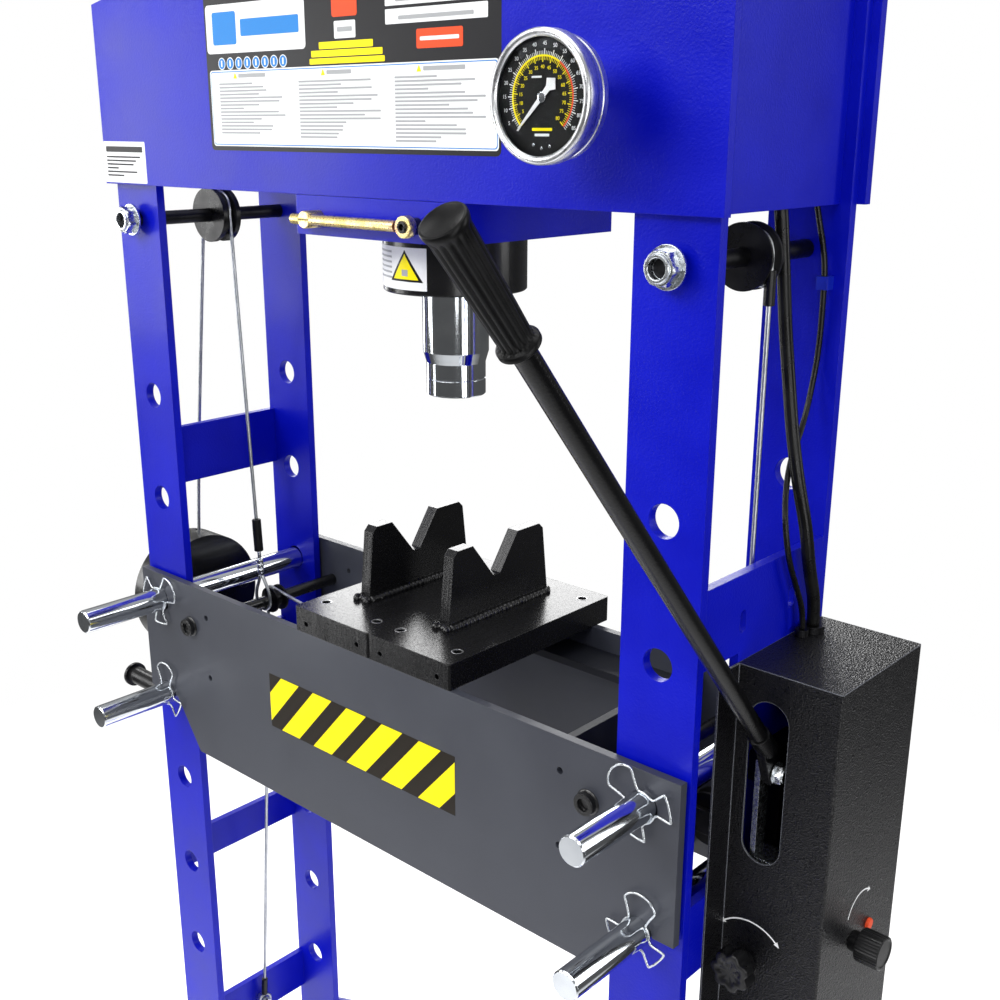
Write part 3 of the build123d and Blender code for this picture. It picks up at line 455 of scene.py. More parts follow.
def printed(name, colour, rough=0.42):
    """Printed film: an even ink with slight grain in colour and gloss."""
    material, tree, shader = start_material(name)
    grain = object_noise(tree, 1400.0, detail=1.0)
    vary_colour(tree, shader, ramp(tree, grain, 0, 1), tuple(c * 0.93 for c in colour), colour)
    vary_rough(tree, shader, grain, rough - 0.04, rough + 0.05)
    shader.inputs["Specular IOR Level"].default_value = 0.2
    bumps(tree, shader, [(grain, 0.00003, 0.2)])
    return material


def clear_glass(name):
    """A thin clear window, faintly smeared."""
    material, tree, shader = start_material(name)
    shader.inputs["Base Color"].default_value = (0.97, 0.985, 0.99, 1)
    shader.inputs["Transmission Weight"].default_value = 1.0
    shader.inputs["IOR"].default_value = 1.12
    vary_rough(tree, shader, object_noise(tree, 60.0), 0.0, 0.02)
    return material


DEEP_BLACK = (0.002, 0.002, 0.0025)
SOFT_BLACK = (0.005, 0.005, 0.006)
blue = paint("frame_blue", (0.0006, 0.0030, 0.36), (0.0010, 0.0050, 0.46), 0.34, 420.0, 0.0009, 0.04, level=0.2)
grey = paint("table_grey", (0.036, 0.039, 0.052), (0.046, 0.050, 0.064), 0.42, 700.0, 0.0004, 0.05, level=0.35)
# A darker copy of the table grey for the diaphragms inside the table: painted shade.
painted_shade_grey = paint("painted_shade_grey", (0.010, 0.011, 0.015), (0.014, 0.015, 0.020), 0.5, 700.0, 0.0004, 0.0,
                    level=0.2)
gloss_black = paint("gloss_black", DEEP_BLACK, SOFT_BLACK, 0.26, 420.0, 0.0010, 0.15, level=0.4)
lever_black = paint("lever_black", (0.001, 0.001, 0.0012), (0.003, 0.003, 0.0035), 0.24, 420.0, 0.0006, 0.05,
                    level=0.22)
case_black = paint("case_black", (0.003, 0.003, 0.0035), (0.006, 0.006, 0.007), 0.26, 480.0, 0.0005, 0.2,
                   level=0.4)
sawn_black = sawn("sawn_black")
hammer = hammered("black_hammered")
oxide = metal("black_oxide", (0.018, 0.018, 0.020), (0.035, 0.035, 0.038), 0.42)
zinc = metal("bright_zinc", (0.52, 0.55, 0.58), (0.70, 0.73, 0.76), 0.26)
chrome = metal("chrome_steel", (0.60, 0.63, 0.67), (0.72, 0.75, 0.79), 0.10, 340.0, (6, 0.15, 6), 0.00004)
ram_chrome = metal("ram_chrome", (0.62, 0.65, 0.69), (0.74, 0.77, 0.80), 0.09, 300.0, (0.2, 0.2, 8), 0.00004)
steel = metal("bare_steel", (0.38, 0.38, 0.39), (0.52, 0.52, 0.53), 0.32)
rope_steel = metal("rope_steel", (0.34, 0.36, 0.37), (0.55, 0.57, 0.58), 0.36, 700.0)
stainless = metal("gauge_steel", (0.58, 0.60, 0.63), (0.70, 0.72, 0.74), 0.16, 420.0, (0.3, 4, 0.3), 0.00004)
brushed = metal("brushed_steel", (0.60, 0.61, 0.63), (0.72, 0.73, 0.75), 0.30, 520.0, (0.25, 4, 0.25), 0.00006)
plastic = moulded("black_plastic", (0.003, 0.003, 0.0035), (0.008, 0.008, 0.009), 0.30)
grip_rubber = moulded("grip_rubber", (0.002, 0.002, 0.0022), (0.005, 0.005, 0.0055), 0.36, 700.0, 0.0002,
                      level=0.14)
hose_rubber = moulded("hose_rubber", (0.003, 0.003, 0.003), (0.007, 0.007, 0.007), 0.28, 1200.0, level=0.24)
blue_plastic = moulded("blue_plastic", (0.002, 0.010, 0.30), (0.004, 0.018, 0.42), 0.36)
gold = passivated("yellow_zinc")
glass = clear_glass("gauge_glass")
dial_black = printed("dial_black", (0.006, 0.006, 0.007), 0.38)
liquid_grey = paint("liquid_grey", (0.02, 0.02, 0.022), (0.16, 0.17, 0.19), 0.3, 160.0, 0.0004)
ink_white = printed("ink_white", (0.86, 0.87, 0.88))
ink_grey = printed("ink_grey", (0.38, 0.39, 0.40))
ink_dark = printed("ink_dark", (0.014, 0.014, 0.016), 0.36)
ink_blue = printed("ink_blue", (0.02, 0.22, 0.62))
ink_red = printed("ink_red", (0.82, 0.08, 0.02))
ink_yellow = printed("ink_yellow", (1.0, 0.83, 0.0))
ink_black = printed("ink_black", (0.010, 0.010, 0.010), 0.34)
ink_umber = printed("ink_umber", (0.012, 0.008, 0.004), 0.34)
lacquer = printed("pointer_lacquer", (0.86, 0.86, 0.86), 0.3)

BY_SLOT = {
    "frame_blue": blue, "table_grey": grey, "black_gloss": gloss_black, "black_hammered": hammer,
    "black_oxide": oxide, "bright_zinc": zinc, "chrome_steel": chrome, "yellow_zinc": gold, "bare_steel": steel,
    "black_plastic": plastic, "grip_rubber": grip_rubber, "hose_rubber": hose_rubber, "rope_steel": rope_steel,
    "gauge_steel": stainless, "dial_black": dial_black, "pointer_white": lacquer, "gauge_glass": glass,
    "blue_plastic": blue_plastic,
}
# The table's diaphragms take the darker grey: painted shade inside the table.
BY_NODE = {
    "v_block_left": sawn_black, "v_block_right": sawn_black, "table_diaphragms": painted_shade_grey, "ram": ram_chrome,
    "ram_saddle": ram_chrome, "lever_tube": lever_black, "lever_socket": lever_black, "winch_case": case_black,
    "winch_mount": case_black, "cylinder_body": case_black,
}


def dress_frame():
    """Gives each carried-over CAD node its material."""
    slots = {entry["node"]: entry["material_slot"] for entry in frame["record"]["subparts"]}
    for name, obj in nodes.items():
        obj.data.materials.clear()
        obj.data.materials.append(BY_NODE.get(name) or BY_SLOT[slots[name]])


# ---- Camera, light and floor --------------------------------------------------------------------
CAMERA_PLACE = (1.05314, -1.04715, 1.67489)
CAMERA_LOOK_DOWN = 17.42
CAMERA_TURN = 42.54


def make_camera():
    """The photo's viewpoint, found by matching points of the press with the same points of the photo."""
    data = bpy.data.cameras.new("camera")
    data.sensor_width = 36.0
    data.lens = 45.23
    data.shift_x = 0.0091
    data.shift_y = 0.0178
    data.clip_end = 60.0
    camera = bpy.data.objects.new("camera", data)
    camera.location = CAMERA_PLACE
    camera.rotation_euler = (radians(90 - CAMERA_LOOK_DOWN), 0, radians(CAMERA_TURN))
    bpy.context.scene.collection.objects.link(camera)
    bpy.context.scene.camera = camera


def area_light(name, place, target, size, power, colour=(1, 1, 1)):
    data = bpy.data.lights.new(name, "AREA")
    data.shape = "RECTANGLE"
    data.size, data.size_y = size
    data.energy = power
    data.color = colour
    light = bpy.data.objects.new(name, data)
    light.location = place
    light.rotation_euler = (Vector(target) - Vector(place)).to_track_quat("-Z", "Y").to_euler()
    light.visible_camera = False
    bpy.context.scene.collection.objects.link(light)


def make_world():
    """White behind the object; for its light and reflections, a dim room with a brighter ceiling."""
    world = bpy.data.worlds.new("studio")
    bpy.context.scene.world = world
    world.use_nodes = True
    tree = world.node_tree
    background = tree.nodes["Background"]
    split = node(tree, "SeparateXYZ", links=[("Vector", node(tree, "TexCoord").outputs["Generated"])])
    choose = node(tree, "Mix", data_type="FLOAT")
    tree.links.new(node(tree, "LightPath").outputs["Is Camera Ray"], choose.inputs["Factor"])
    tree.links.new(ramp(tree, split.outputs["Z"], 0.10, 0.60, -0.1, 0.9), choose.inputs["A"])
    choose.inputs["B"].default_value = 1.0
    tree.links.new(choose.outputs["Result"], background.inputs["Strength"])
    background.inputs["Color"].default_value = (1, 1, 1, 1)


def floor_paper():
    """Pale paper that fades out round the press, so the white behind it has no horizon."""
    material, tree, shader = start_material("floor_paper")
    vary_colour(tree, shader, ramp(tree, object_noise(tree, 3.0), 0, 1), (0.86, 0.86, 0.86), (0.88, 0.88, 0.88))
    shader.inputs["Roughness"].default_value = 0.9
    shader.inputs["Emission Color"].default_value = (1, 1, 1, 1)
    shader.inputs["Emission Strength"].default_value = 0.35
    reach = node(tree, "VectorMath", operation="LENGTH")
    tree.links.new(node(tree, "TexCoord").outputs["Object"], reach.inputs[0])
    fade = node(tree, "MixShader", links=[("Fac", ramp(tree, reach.outputs["Value"], 0, 1, 0.7, 2.4))])
    tree.links.new(shader.outputs["BSDF"], fade.inputs[1])
    tree.links.new(node(tree, "BsdfTransparent").outputs["BSDF"], fade.inputs[2])
    tree.links.new(fade.outputs["Shader"], tree.nodes["Material Output"].inputs["Surface"])
    return material


# Name, place, target, size and power in watts of each area light.
LIGHTS = (
    ("key", (-1.3, -2.6, 3.3), (-0.1, 0, 1.1), (2.2, 1.4), 84),
    ("left_glow", (-3.2, -1.9, 1.7), (-0.3, 0, 1.5), (0.5, 1.6), 22),
    ("front", (0.9, -3.2, 3.2), (0.0, 0, 1.0), (2.0, 1.0), 40),
    ("right_strip", (2.9, -0.5, 1.5), (0.1, 0, 1.2), (0.3, 2.6), 14),
    ("left_strip", (-2.6, 0.5, 1.6), (0.1, 0, 1.3), (0.4, 2.6), 22),
    ("top", (0.0, 0.3, 4.0), (0.0, 0, 1.2), (2.6, 2.0), 40),
    ("back_left", (-2.0, 2.6, 2.2), (0.4, 0, 1.2), (2.2, 1.2), 55),
    ("back_right", (3.0, 2.2, 2.2), (0.4, 0, 1.3), (0.8, 2.2), 24),
    ("chrome_left", (-1.7, -1.5, 1.1), (0.04, 0, 1.35), (0.22, 1.8), 9),
    ("chrome_right", (1.9, -0.7, 1.2), (0.04, 0, 1.35), (0.18, 1.6), 7),
    ("box_side", (2.2, -1.9, 1.5), (0.5, 0, 1.0), (0.5, 0.8), 9),
)


def make_studio():
    bpy.context.scene.view_settings.view_transform = "Standard"
    make_world()
    for light in LIGHTS:
        area_light(*light)
    floor = piece("floor", [(-3000, -3000, 0), (3000, -3000, 0), (3000, 3000, 0), (-3000, 3000, 0)],
                  [(0, 1, 2, 3)], None, floor_paper())


# ---- Ropes and hoses ----------------------------------------------------------------------------
WINCH_ROPE = (
    (-0.520, 0, 0.992), (-0.520, 0, 1.083), (-0.4519, 0.0018, 1.545), (-0.4458, 0.002, 1.5865),
    (-0.3916, 0.002, 1.5865), (-0.3888, 0.0013, 1.545), (-0.3606, -0.0056, 1.132))
LEVELLING_ROPE = (
    (0.4399, 0, 1.5305), (0.4205, 0, 1.5305), (0.3945, 0, 1.5305), (0.3945, 0, 1.5815), (0.4455, 0, 1.5815),
    (0.4455, 0, 1.5305), (0.4455, 0, 0.960), (0.4455, 0, 0.9308), (0.4167, 0.0005, 0.9342),
    (-0.348, 0.0127, 1.0232), (-0.36485, 0.013, 1.0252), (-0.3665, 0.013, 1.0082), (-0.4372, 0.013, 0.300))
HYDRAULIC_HOSE = (
    (0.479, 0.074, 1.178), (0.479, 0.074, 1.203), (0.477, 0.060, 1.243), (0.4755, 0.050, 1.288),
    (0.467, 0.0445, 1.330), (0.455, 0.046, 1.380), (0.4455, 0.0485, 1.432), (0.4405, 0.043, 1.485),
    (0.4385, 0.036, 1.538), (0.436, 0.030, 1.590), (0.429, 0.028, 1.640), (0.404, 0.034, 1.688),
    (0.376, 0.052, 1.732), (0.338, 0.070, 1.762), (0.296, 0.074, 1.780), (0.250, 0.054, 1.784),
    (0.214, 0.026, 1.776), (0.186, 0, 1.766), (0.1435, 0, 1.766))
GAUGE_HOSE = (
    (0.477, 0.055, 1.178), (0.477, 0.055, 1.196), (0.4755, 0.040, 1.226), (0.4745, 0.022, 1.259),
    (0.472, 0.015, 1.292), (0.462, 0.027, 1.322), (0.449, 0.055, 1.351), (0.445, 0.083, 1.380),
    (0.4435, 0.099, 1.418), (0.446, 0.103, 1.458), (0.447, 0.102, 1.504), (0.446, 0.102, 1.548),
    (0.435, 0.099, 1.594), (0.432, 0.091, 1.634), (0.433, 0.068, 1.668), (0.433, 0.032, 1.690),
    (0.422, -0.002, 1.698), (0.394, -0.020, 1.698), (0.358, -0.036, 1.697), (0.3355, -0.072, 1.696),
    (0.3355, -0.117, 1.696))
ROPE_R = 0.0025
ROPE_LAY = 0.019


def stranded(travelled, angle):
    """Six strands laid round each other."""
    return ROPE_R * (0.80 + 0.20 * abs(cos(3 * (angle - 2 * pi * travelled / ROPE_LAY))))


def add_rope(name, route):
    line = spaced(route_points(name, route), 0.0022)
    rope = cord_piece(line, stranded, 24).make(name, "root", "rope_steel", rope_steel, True)
    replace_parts(rope, name)
    return rope


def add_hose(name, route, radius, moving):
    line = spaced(route_points(name, route), 0.004)
    build = cord_piece(line, lambda travelled, angle: radius * (1 + 0.006 * sin(travelled * 900)), 28)
    if moving:
        hose = build.make(name, None, None, hose_rubber, True)
        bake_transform(hose)
    else:
        hose = build.make(name, "root", "hose_rubber", hose_rubber, True)
    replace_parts(hose, name)
    return hose


def add_cords():
    add_rope("winch_rope", WINCH_ROPE)
    add_rope("levelling_rope", LEVELLING_ROPE)
    add_hose("hydraulic_hose", HYDRAULIC_HOSE, 0.0067, True)
    add_hose("gauge_hose", GAUGE_HOSE, 0.003, False)


# ---- Printed labels -----------------------------------------------------------------------------
def add_art(name, groups, place, body, lift=0.22):
    """Each group is (material, level, outlines); a level lifts the ink over the film below."""
    for index, (material, level, outlines) in enumerate(groups):
        build = Build()
        low = lift * level
        for outline in outlines:
            build.prism(outline, place, low - 0.15, low + lift)
        build.make(f"{name}_{index}", body, "frame_blue", material)


def text_lines(x0, x1, z_top, count, pitch, seed):
    """Grey bars in the place of small print, each line a little different in length."""
    bars = []
    for row in range(count):
        share = 0.72 + 0.28 * noise.cell(Vector((row * 1.7, seed, 0.5)))
        if row % 4 == 3:
            share *= 0.6
        z = z_top - row * pitch
        bars.append(rounded_box(x0, x0 + (x1 - x0) * share, z - 1.0, z + 1.0, 0.8, 2))
    return bars


def add_head_label():
    """The head's label: generic blocks, bars, dots and panels with no lettering."""
    film = [rounded_box(-235, 225, 1645, 1834, 6)]
    white = [rounded_box(-232, -56, 1751, 1803, 5), rounded_box(-9, 24, 1759, 1776, 1.5),
             rounded_box(69, 208, 1786, 1800, 1), rounded_box(69, 208, 1769, 1783, 1),
             rounded_box(-230, 222, 1650, 1733, 4)]
    dots = [-206 + 15.86 * k for k in range(8)]
    white += [disc(x, 1740, 6.6) for x in dots]
    panel_edge = [rounded_box(-228.6, 220.6, 1651.4, 1731.6, 3.4)]
    panel = [rounded_box(-227.6, 219.6, 1652.4, 1730.6, 3)]
    blue_art = [disc(x, 1740, 5.6) for x in dots]
    blue_art += [rounded_box(-220, -176, 1760, 1795, 3), rounded_box(-168, -66, 1768, 1786, 2)]
    red = [rounded_box(-12, 27, 1780, 1808, 3), rounded_box(113, 176, 1745, 1763, 2)]
    yellow = [rounded_box(-34, 50, 1749.5, 1756.5, 1), rounded_box(-47, 64, 1741.8, 1748.3, 1),
              rounded_box(-50, 67, 1734.8, 1740.5, 1)]
    lines = []
    heads = []
    marks = []
    inner = []
    for x0, x1, z0, count, h0, h1 in ((-213, -88, 1720, 15, -182, -127), (-70, 64, 1720, 16, -29, 16),
                                      (81, 210, 1721, 17, 116, 179)):
        lines += text_lines(x0, x1, z0 - 2, count, 3.8, x0)
        heads.append(rounded_box(h0 + 6, h1, 1724.4, 1728.6, 1))
        marks.append(triangle(h0, 1723.6, 3.4, 5.8))
    for x0, x1, z in ((88, 190, 1774.5), (84, 196, 1791.3)):
        inner.append(rounded_box(x0, x1, z - 1.8, z + 1.8, 1))
    inner.append(rounded_box(-4, 19, 1765.5, 1770.0, 1))
    stripes = [rounded_box(118, 171, 1752.2, 1755.8, 1)]
    bolts = [rounded_box(x - 1.2, x + 1.2, 1736.6, 1743.4, 0.6, 2) for x in dots]
    groups = [(ink_dark, 0, film), (ink_white, 1, white), (ink_blue, 2, panel_edge + blue_art),
              (ink_red, 2, red), (ink_yellow, 2, yellow + marks), (ink_white, 3, panel + bolts + stripes),
              (ink_grey, 4, lines + heads + inner), (ink_yellow, 4, marks)]
    add_art("head_label", groups, on_front(HEAD_FACE_Y), "root", 0.12)
    plate = [(ink_white, 0, [rounded_box(-474, -378, 1602, 1653, 2)]),
             (ink_dark, 1,
              [rounded_box(-468, -384, 1640, 1647, 1)] + text_lines(-468, -386, 1634, 6, 4.6, 9.0))]
    add_art("rating_plate", plate, on_front(HEAD_FACE_Y), "root", 0.12)


def add_hazard_label():
    """Black and yellow stripes across the table's front, leaning to the right."""
    x0, x1, z0, z1 = -178.0, 159.7, 914.5, 990.5
    pitch = 63.7
    band = 35.5
    lean = 67.0
    film = [plain_box(x0, x1, z0, z1)]
    yellow = []
    for k in range(6):
        top = -153.0 + pitch * k
        stripe = [(top - lean, z0 + 0.5), (top - lean + band, z0 + 0.5),
                  (top + band, z1 - 0.5), (top, z1 - 0.5)]
        yellow.append(clip_box(stripe, x0 + 0.3, x1 - 0.3))
    groups = [(ink_umber, 0, film), (ink_yellow, 1, yellow)]
    add_art("hazard_label", groups, on_front(TABLE_FACE_Y), "table", 0.15)


def clip_box(outline, x0, x1):
    """Cuts a convex outline to the strip between two upright lines."""
    for sign, limit in ((1, x0), (-1, -x1)):
        kept = []
        count = len(outline)
        for k in range(count):
            a = outline[k]
            b = outline[(k + 1) % count]
            inside_a = sign * a[0] >= limit
            inside_b = sign * b[0] >= limit
            if inside_a:
                kept.append(a)
            if inside_a != inside_b:
                share = (sign * limit - a[0]) / (b[0] - a[0])
                kept.append((sign * limit, a[1] + share * (b[1] - a[1])))
        outline = kept
    return outline


def on_cylinder(u, v, h):
    """Wraps art round the cylinder: u is an angle in degrees from the front."""
    a = radians(u - 90)
    r = CYLINDER_R + h
    return (RAM_X + r * cos(a), r * sin(a), v)


def add_cylinder_label():
    film = Build()
    for k in range(44):
        u0 = -75 + 97 * k / 44
        u1 = -75 + 97 * (k + 1) / 44
        film.prism(plain_box(u0, u1, 1500, 1546), on_cylinder, -0.1, 0.25)
    film.make("cylinder_label_film", "carriage", "black_gloss", ink_white)
    signs = Build()
    yellow = Build()
    bars = Build()
    for centre in (-62, 2):
        for shape, base, top, half, low in ((signs, 1509, 1543, 17.0, 0.1),
                                            (yellow, 1511.5, 1538.5, 13.0, 0.25)):
            for k in range(12):
                v0 = base + (top - base) * k / 12
                v1 = base + (top - base) * (k + 1) / 12
                w0 = half * (top - v0) / (top - base)
                w1 = max(half * (top - v1) / (top - base), 0.3)
                for n in range(8):
                    a, b = n / 4 - 1, (n + 1) / 4 - 1
                    shape.prism([(centre + a * w0, v0), (centre + b * w0, v0), (centre + b * w1, v1),
                                 (centre + a * w1, v1)], on_cylinder, low, low + 0.3)
        bars.prism(plain_box(centre - 3, centre + 3, 1515, 1522), on_cylinder, 0.5, 0.8)
    for row in range(6):
        z = 1539 - row * 5.6
        for k in range(6):
            u0 = -44 + 5.0 * k
            bars.prism(plain_box(u0, u0 + 5.0, z, z + 2.2), on_cylinder, 0.1, 0.4)
    signs.make("cylinder_label_signs", "carriage", "black_gloss", ink_black)
    yellow.make("cylinder_label_yellow", "carriage", "black_gloss", ink_yellow)
    bars.make("cylinder_label_bars", "carriage", "black_gloss", ink_grey)


# ---- Gauge --------------------------------------------------------------------------------------
DIAL_Y = -201.0
BEZEL_BACK_Y = -193.5
CASE_BACK_Y = -177
DIAL_START = 225.0
DIAL_SWEEP = 270.0


def dial_angle(share):
    return DIAL_START - DIAL_SWEEP * share


def dial_tick(share, r0, r1, half):
    a = radians(dial_angle(share))
    out = (cos(a), sin(a))
    across = (-sin(a), cos(a))
    return [(GAUGE_X + out[0] * r + across[0] * s, GAUGE_Z + out[1] * r + across[1] * s)
            for r, s in ((r0, -half), (r1, -half), (r1, half), (r0, half))]


def dial_number(text, share, radius, size):
    a = radians(dial_angle(share))
    curve = bpy.data.curves.new("number", "FONT")
    curve.body = text
    curve.size = size * MM
    curve.align_x = "CENTER"
    curve.align_y = "CENTER"
    curve.extrude = 0.06 * MM
    carrier = bpy.data.objects.new("number", curve)
    bpy.context.scene.collection.objects.link(carrier)
    bpy.context.view_layer.update()
    mesh = bpy.data.meshes.new_from_object(carrier.evaluated_get(bpy.context.evaluated_depsgraph_get()))
    verts = [(v.co.x / MM + GAUGE_X + radius * cos(a), DIAL_Y - 0.20 - v.co.z / MM,
              v.co.y / MM + GAUGE_Z + radius * sin(a)) for v in mesh.vertices]
    faces = [tuple(p.vertices) for p in mesh.polygons]
    bpy.data.objects.remove(carrier)
    bpy.data.curves.remove(curve)
    bpy.data.meshes.remove(mesh)
    return verts, faces


def add_dial_marks():
    """Two scales, the arc between them that turns red at the limit, and bars in place of print."""
    place = on_front(DIAL_Y)
    white = Build()
    yellow = Build()
    for build, last, strong_ends, weak_ends, weak_width, number_radius, number_height in (
            (white, 88, (33.8, 38.4), (33.8, 36.6), 0.22, 42.4, 4.5),
            (yellow, 80, (27.8, 32.2), (29.4, 32.2), 0.20, 24.0, 4.2)):
        for k in range(last + 1):
            if k % 5 == 0:
                build.prism(dial_tick(k / last, *strong_ends, 0.42), place, 0.02, 0.2)
            else:
                build.prism(dial_tick(k / last, *weak_ends, weak_width), place, 0.02, 0.2)
            if k % 5 == 0 and k:
                build.add(*dial_number(str(k), k / last, number_radius, number_height))
    safe = Build()
    danger = Build()
    limit = dial_angle(50 / 80)
    for build, first, end, count in ((safe, limit, DIAL_START, 60), (danger, dial_angle(1), limit, 40)):
        for quad in arc_strip(GAUGE_X, GAUGE_Z, 32.2, 33.7, first, end, count):
            build.prism(quad, place, 0.02, 0.22)
    for build, x0, x1, z0, z1 in ((white, -12, -1, 15.4, 17), (yellow, -11, 11, -27, -24.6),
                                  (white, -8, 8, -31.4, -29.2)):
        bar = rounded_box(GAUGE_X + x0, GAUGE_X + x1, GAUGE_Z + z0, GAUGE_Z + z1, 0.5, 2)
        build.prism(bar, place, 0.02, 0.2)
    white.make("gauge_marks_white", "root", "dial_black", ink_white)
    yellow.make("gauge_marks_yellow", "root", "dial_black", ink_yellow)
    safe.make("gauge_arc_safe", "root", "dial_black", ink_yellow)
    danger.make("gauge_arc_limit", "root", "dial_black", ink_red)
    bubble = Build()
    for quad in arc_strip(GAUGE_X, GAUGE_Z, 38.8, 48.6, 52, 128, 48):
        bubble.prism(quad, place, -0.05, 0.02)
    bubble.make("gauge_liquid_line", "root", "dial_black", liquid_grey)
    screws = Build()
    for dx, dz in ((-9.0, -38.4), (0.0, -41.0), (9.0, -39.4)):
        screws.lathe([(0, 0.1), (1.5, 0.1), (1.5, 0.7), (1.1, 1.1), (0, 1.2)],
                     (GAUGE_X + dx, DIAL_Y, GAUGE_Z + dz), (0, -1, 0), 20)
    screws.make("gauge_screws", "root", "gauge_steel", stainless)


def add_pointer():
    needle = Build()
    tip = radians(DIAL_START)
    out = Vector((cos(tip), sin(tip)))
    across = Vector((-sin(tip), cos(tip)))
    shape = [(-15, -6.5), (-21, 0), (-15, 6.5), (-10, 2.6), (0, 2.2), (30, 0.9), (38, 0.15), (38, -0.15),
             (30, -0.9), (0, -2.2), (-10, -2.6)]
    outline = []
    for along, off in shape:
        spot = out * along + across * off
        outline.append((GAUGE_X + spot.x, GAUGE_Z + spot.y))
    needle.prism(outline, on_front(DIAL_Y), 1.2, 1.8)
    pointer = needle.make("pointer_needle", "gauge_pointer", "pointer_white", lacquer)
    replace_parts(pointer, "gauge_pointer")
    hub = Build()
    hub.lathe([(0, 0.3), (1.2, 0.3), (1.2, 0.9), (4.3, 0.9), (4.5, 1.3), (4.2, 1.9), (2.6, 2.2), (0, 2.25)],
              (GAUGE_X, DIAL_Y, GAUGE_Z), (0, -1, 0), 32)
    smooth_by_angle(hub.make("pointer_hub", "gauge_pointer", "gauge_steel", stainless))


def add_gauge_case():
    ring = Build()
    ring.lathe([(52.0, 0), (54.6, 0), (55.0, 0.5), (55.0, 11.4), (54.4, 13.6), (53.2, 14.8), (51.2, 15),
                (49.4, 14.6), (48.3, 13.4), (47.6, 12.3), (52, 12.3)],
               (GAUGE_X, BEZEL_BACK_Y, GAUGE_Z), (0, -1, 0), 96, True)
    bezel = smooth_by_angle(ring.make("gauge_bezel_ring", "root", "gauge_steel", brushed), 50)
    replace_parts(bezel, "gauge_bezel")
    case = Build()
    case.lathe([(0, -60), (9, -60), (9, -17), (13, -17), (13, 0), (49.6, 0), (51.2, 0.5), (52, 1.6), (52, 7.0),
                (51.3, 7.7), (51.3, 8.9), (52, 9.6), (52, 26.5), (49.6, 26.5), (49.5, 3), (0, 3)],
               (GAUGE_X, CASE_BACK_Y, GAUGE_Z), (0, -1, 0), 96)
    shell = smooth_by_angle(case.make("gauge_case_shell", "root", "gauge_steel", brushed), 30)
    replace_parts(shell, "gauge_case")


# ---- Pins, clips and fasteners ------------------------------------------------------------------
CLIPS = {"upper_right": (1, UPPER_PIN_Z, 137.0), "lower_right": (1, LOWER_PIN_Z, 83.0),
         "upper_left": (-1, UPPER_PIN_Z, 35.0), "lower_left": (-1, LOWER_PIN_Z, 87.0)}


def clip_loop(centre_x, centre_z, big_angle):
    """A closed spring wire: one tall rounded loop and two pointed ones, hugging the pin between them."""
    big = [(17.4, -38), (19.5, -33), (30, -29.5), (38.5, -29), (41, -27.5), (44.5, -19), (46.5, -10), (47, 0)]
    small = [(17.4, -33), (20, -22), (29, -23.5), (36.5, -24), (37, -21.5), (36, -10), (35.5, 0)]
    points = []
    for index in range(3):
        middle = big_angle + 120 * index
        half = big if index == 0 else small
        lobe = half + [(r, -a) for r, a in reversed(half[:-1])]
        hug = (46, 60, 74) if index == 0 else ((41, 50, 60, 70, 78) if index == 1 else (42, 60, 74))
        for r, a in lobe + [(17.3, h) for h in hug]:
            spot = radians(middle + a)
            points.append((centre_x + r * cos(spot), centre_z + r * sin(spot)))
    return points


def softened(points, rounds=2, cyclic=True):
    """Chaikin's corner cutting."""
    for _ in range(rounds):
        out = []
        count = len(points)
        for k in range(count if cyclic else count - 1):
            a = Vector(points[k])
            b = Vector(points[(k + 1) % count])
            out += [a * 0.75 + b * 0.25, a * 0.25 + b * 0.75]
        points = [tuple(v) for v in out]
    return points


def add_pins():
    for name, (side, z, angle) in CLIPS.items():
        low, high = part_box(f"pin_clip_{name}")
        middle_y = (low.y + high.y) / 2 / MM
        loop = softened(clip_loop(side * SIDE_X, z, angle))
        points = [(x, middle_y, up) for x, up in loop]
        clip = wire(f"clip_wire_{name}", points, 1.3, f"pin_{name}", zinc, True)
        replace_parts(clip, f"pin_clip_{name}")


def lock_nut(build, origin, axis, across_flats, height, bore, turn=0.0):
    """A hexagon lock nut with a round collar on its outer face and a bore that shows the shaft's end."""
    side, up, way = basis(axis)
    origin = Vector(origin)
    corner = across_flats / sqrt(3)
    flat = across_flats / 2
    levels = ((0, flat * 1.01), (height * 0.06, corner), (height * 0.68, corner), (height * 0.80, flat * 1.02),
              (height * 0.82, flat * 0.88), (height * 0.95, flat * 0.86), (height, flat * 0.80),
              (height, bore + 0.8), (height * 0.96, bore), (height * 0.45, bore))
    build.rings([circle(origin + way * level, side, up, 72,
                        lambda a: min(flat / cos((a + pi / 6) % (pi / 3) - pi / 6), limit), radians(turn))
                 for level, limit in levels])


def add_shaft_ends():
    """The lock nuts and washers of the two pulley shafts."""
    nuts = Build()
    for side, turn in ((-1, 12), (1, 25)):
        for way in (-1, 1):
            face = way * 130.0
            nuts.lathe([(9.2, 0), (19.6, 0), (20, 0.4), (20, 2.6), (19.6, 3), (9.2, 3)],
                       (side * SIDE_X, face, SHAFT_Z), (0, way, 0), 64)
            lock_nut(nuts, (side * SIDE_X, face + way * 3, SHAFT_Z), (0, way, 0), 30, 15, 9.2, turn)
    made = nuts.make("shaft_nuts_and_washers", "root", "bright_zinc", zinc)
    return smooth_by_angle(made, 22)


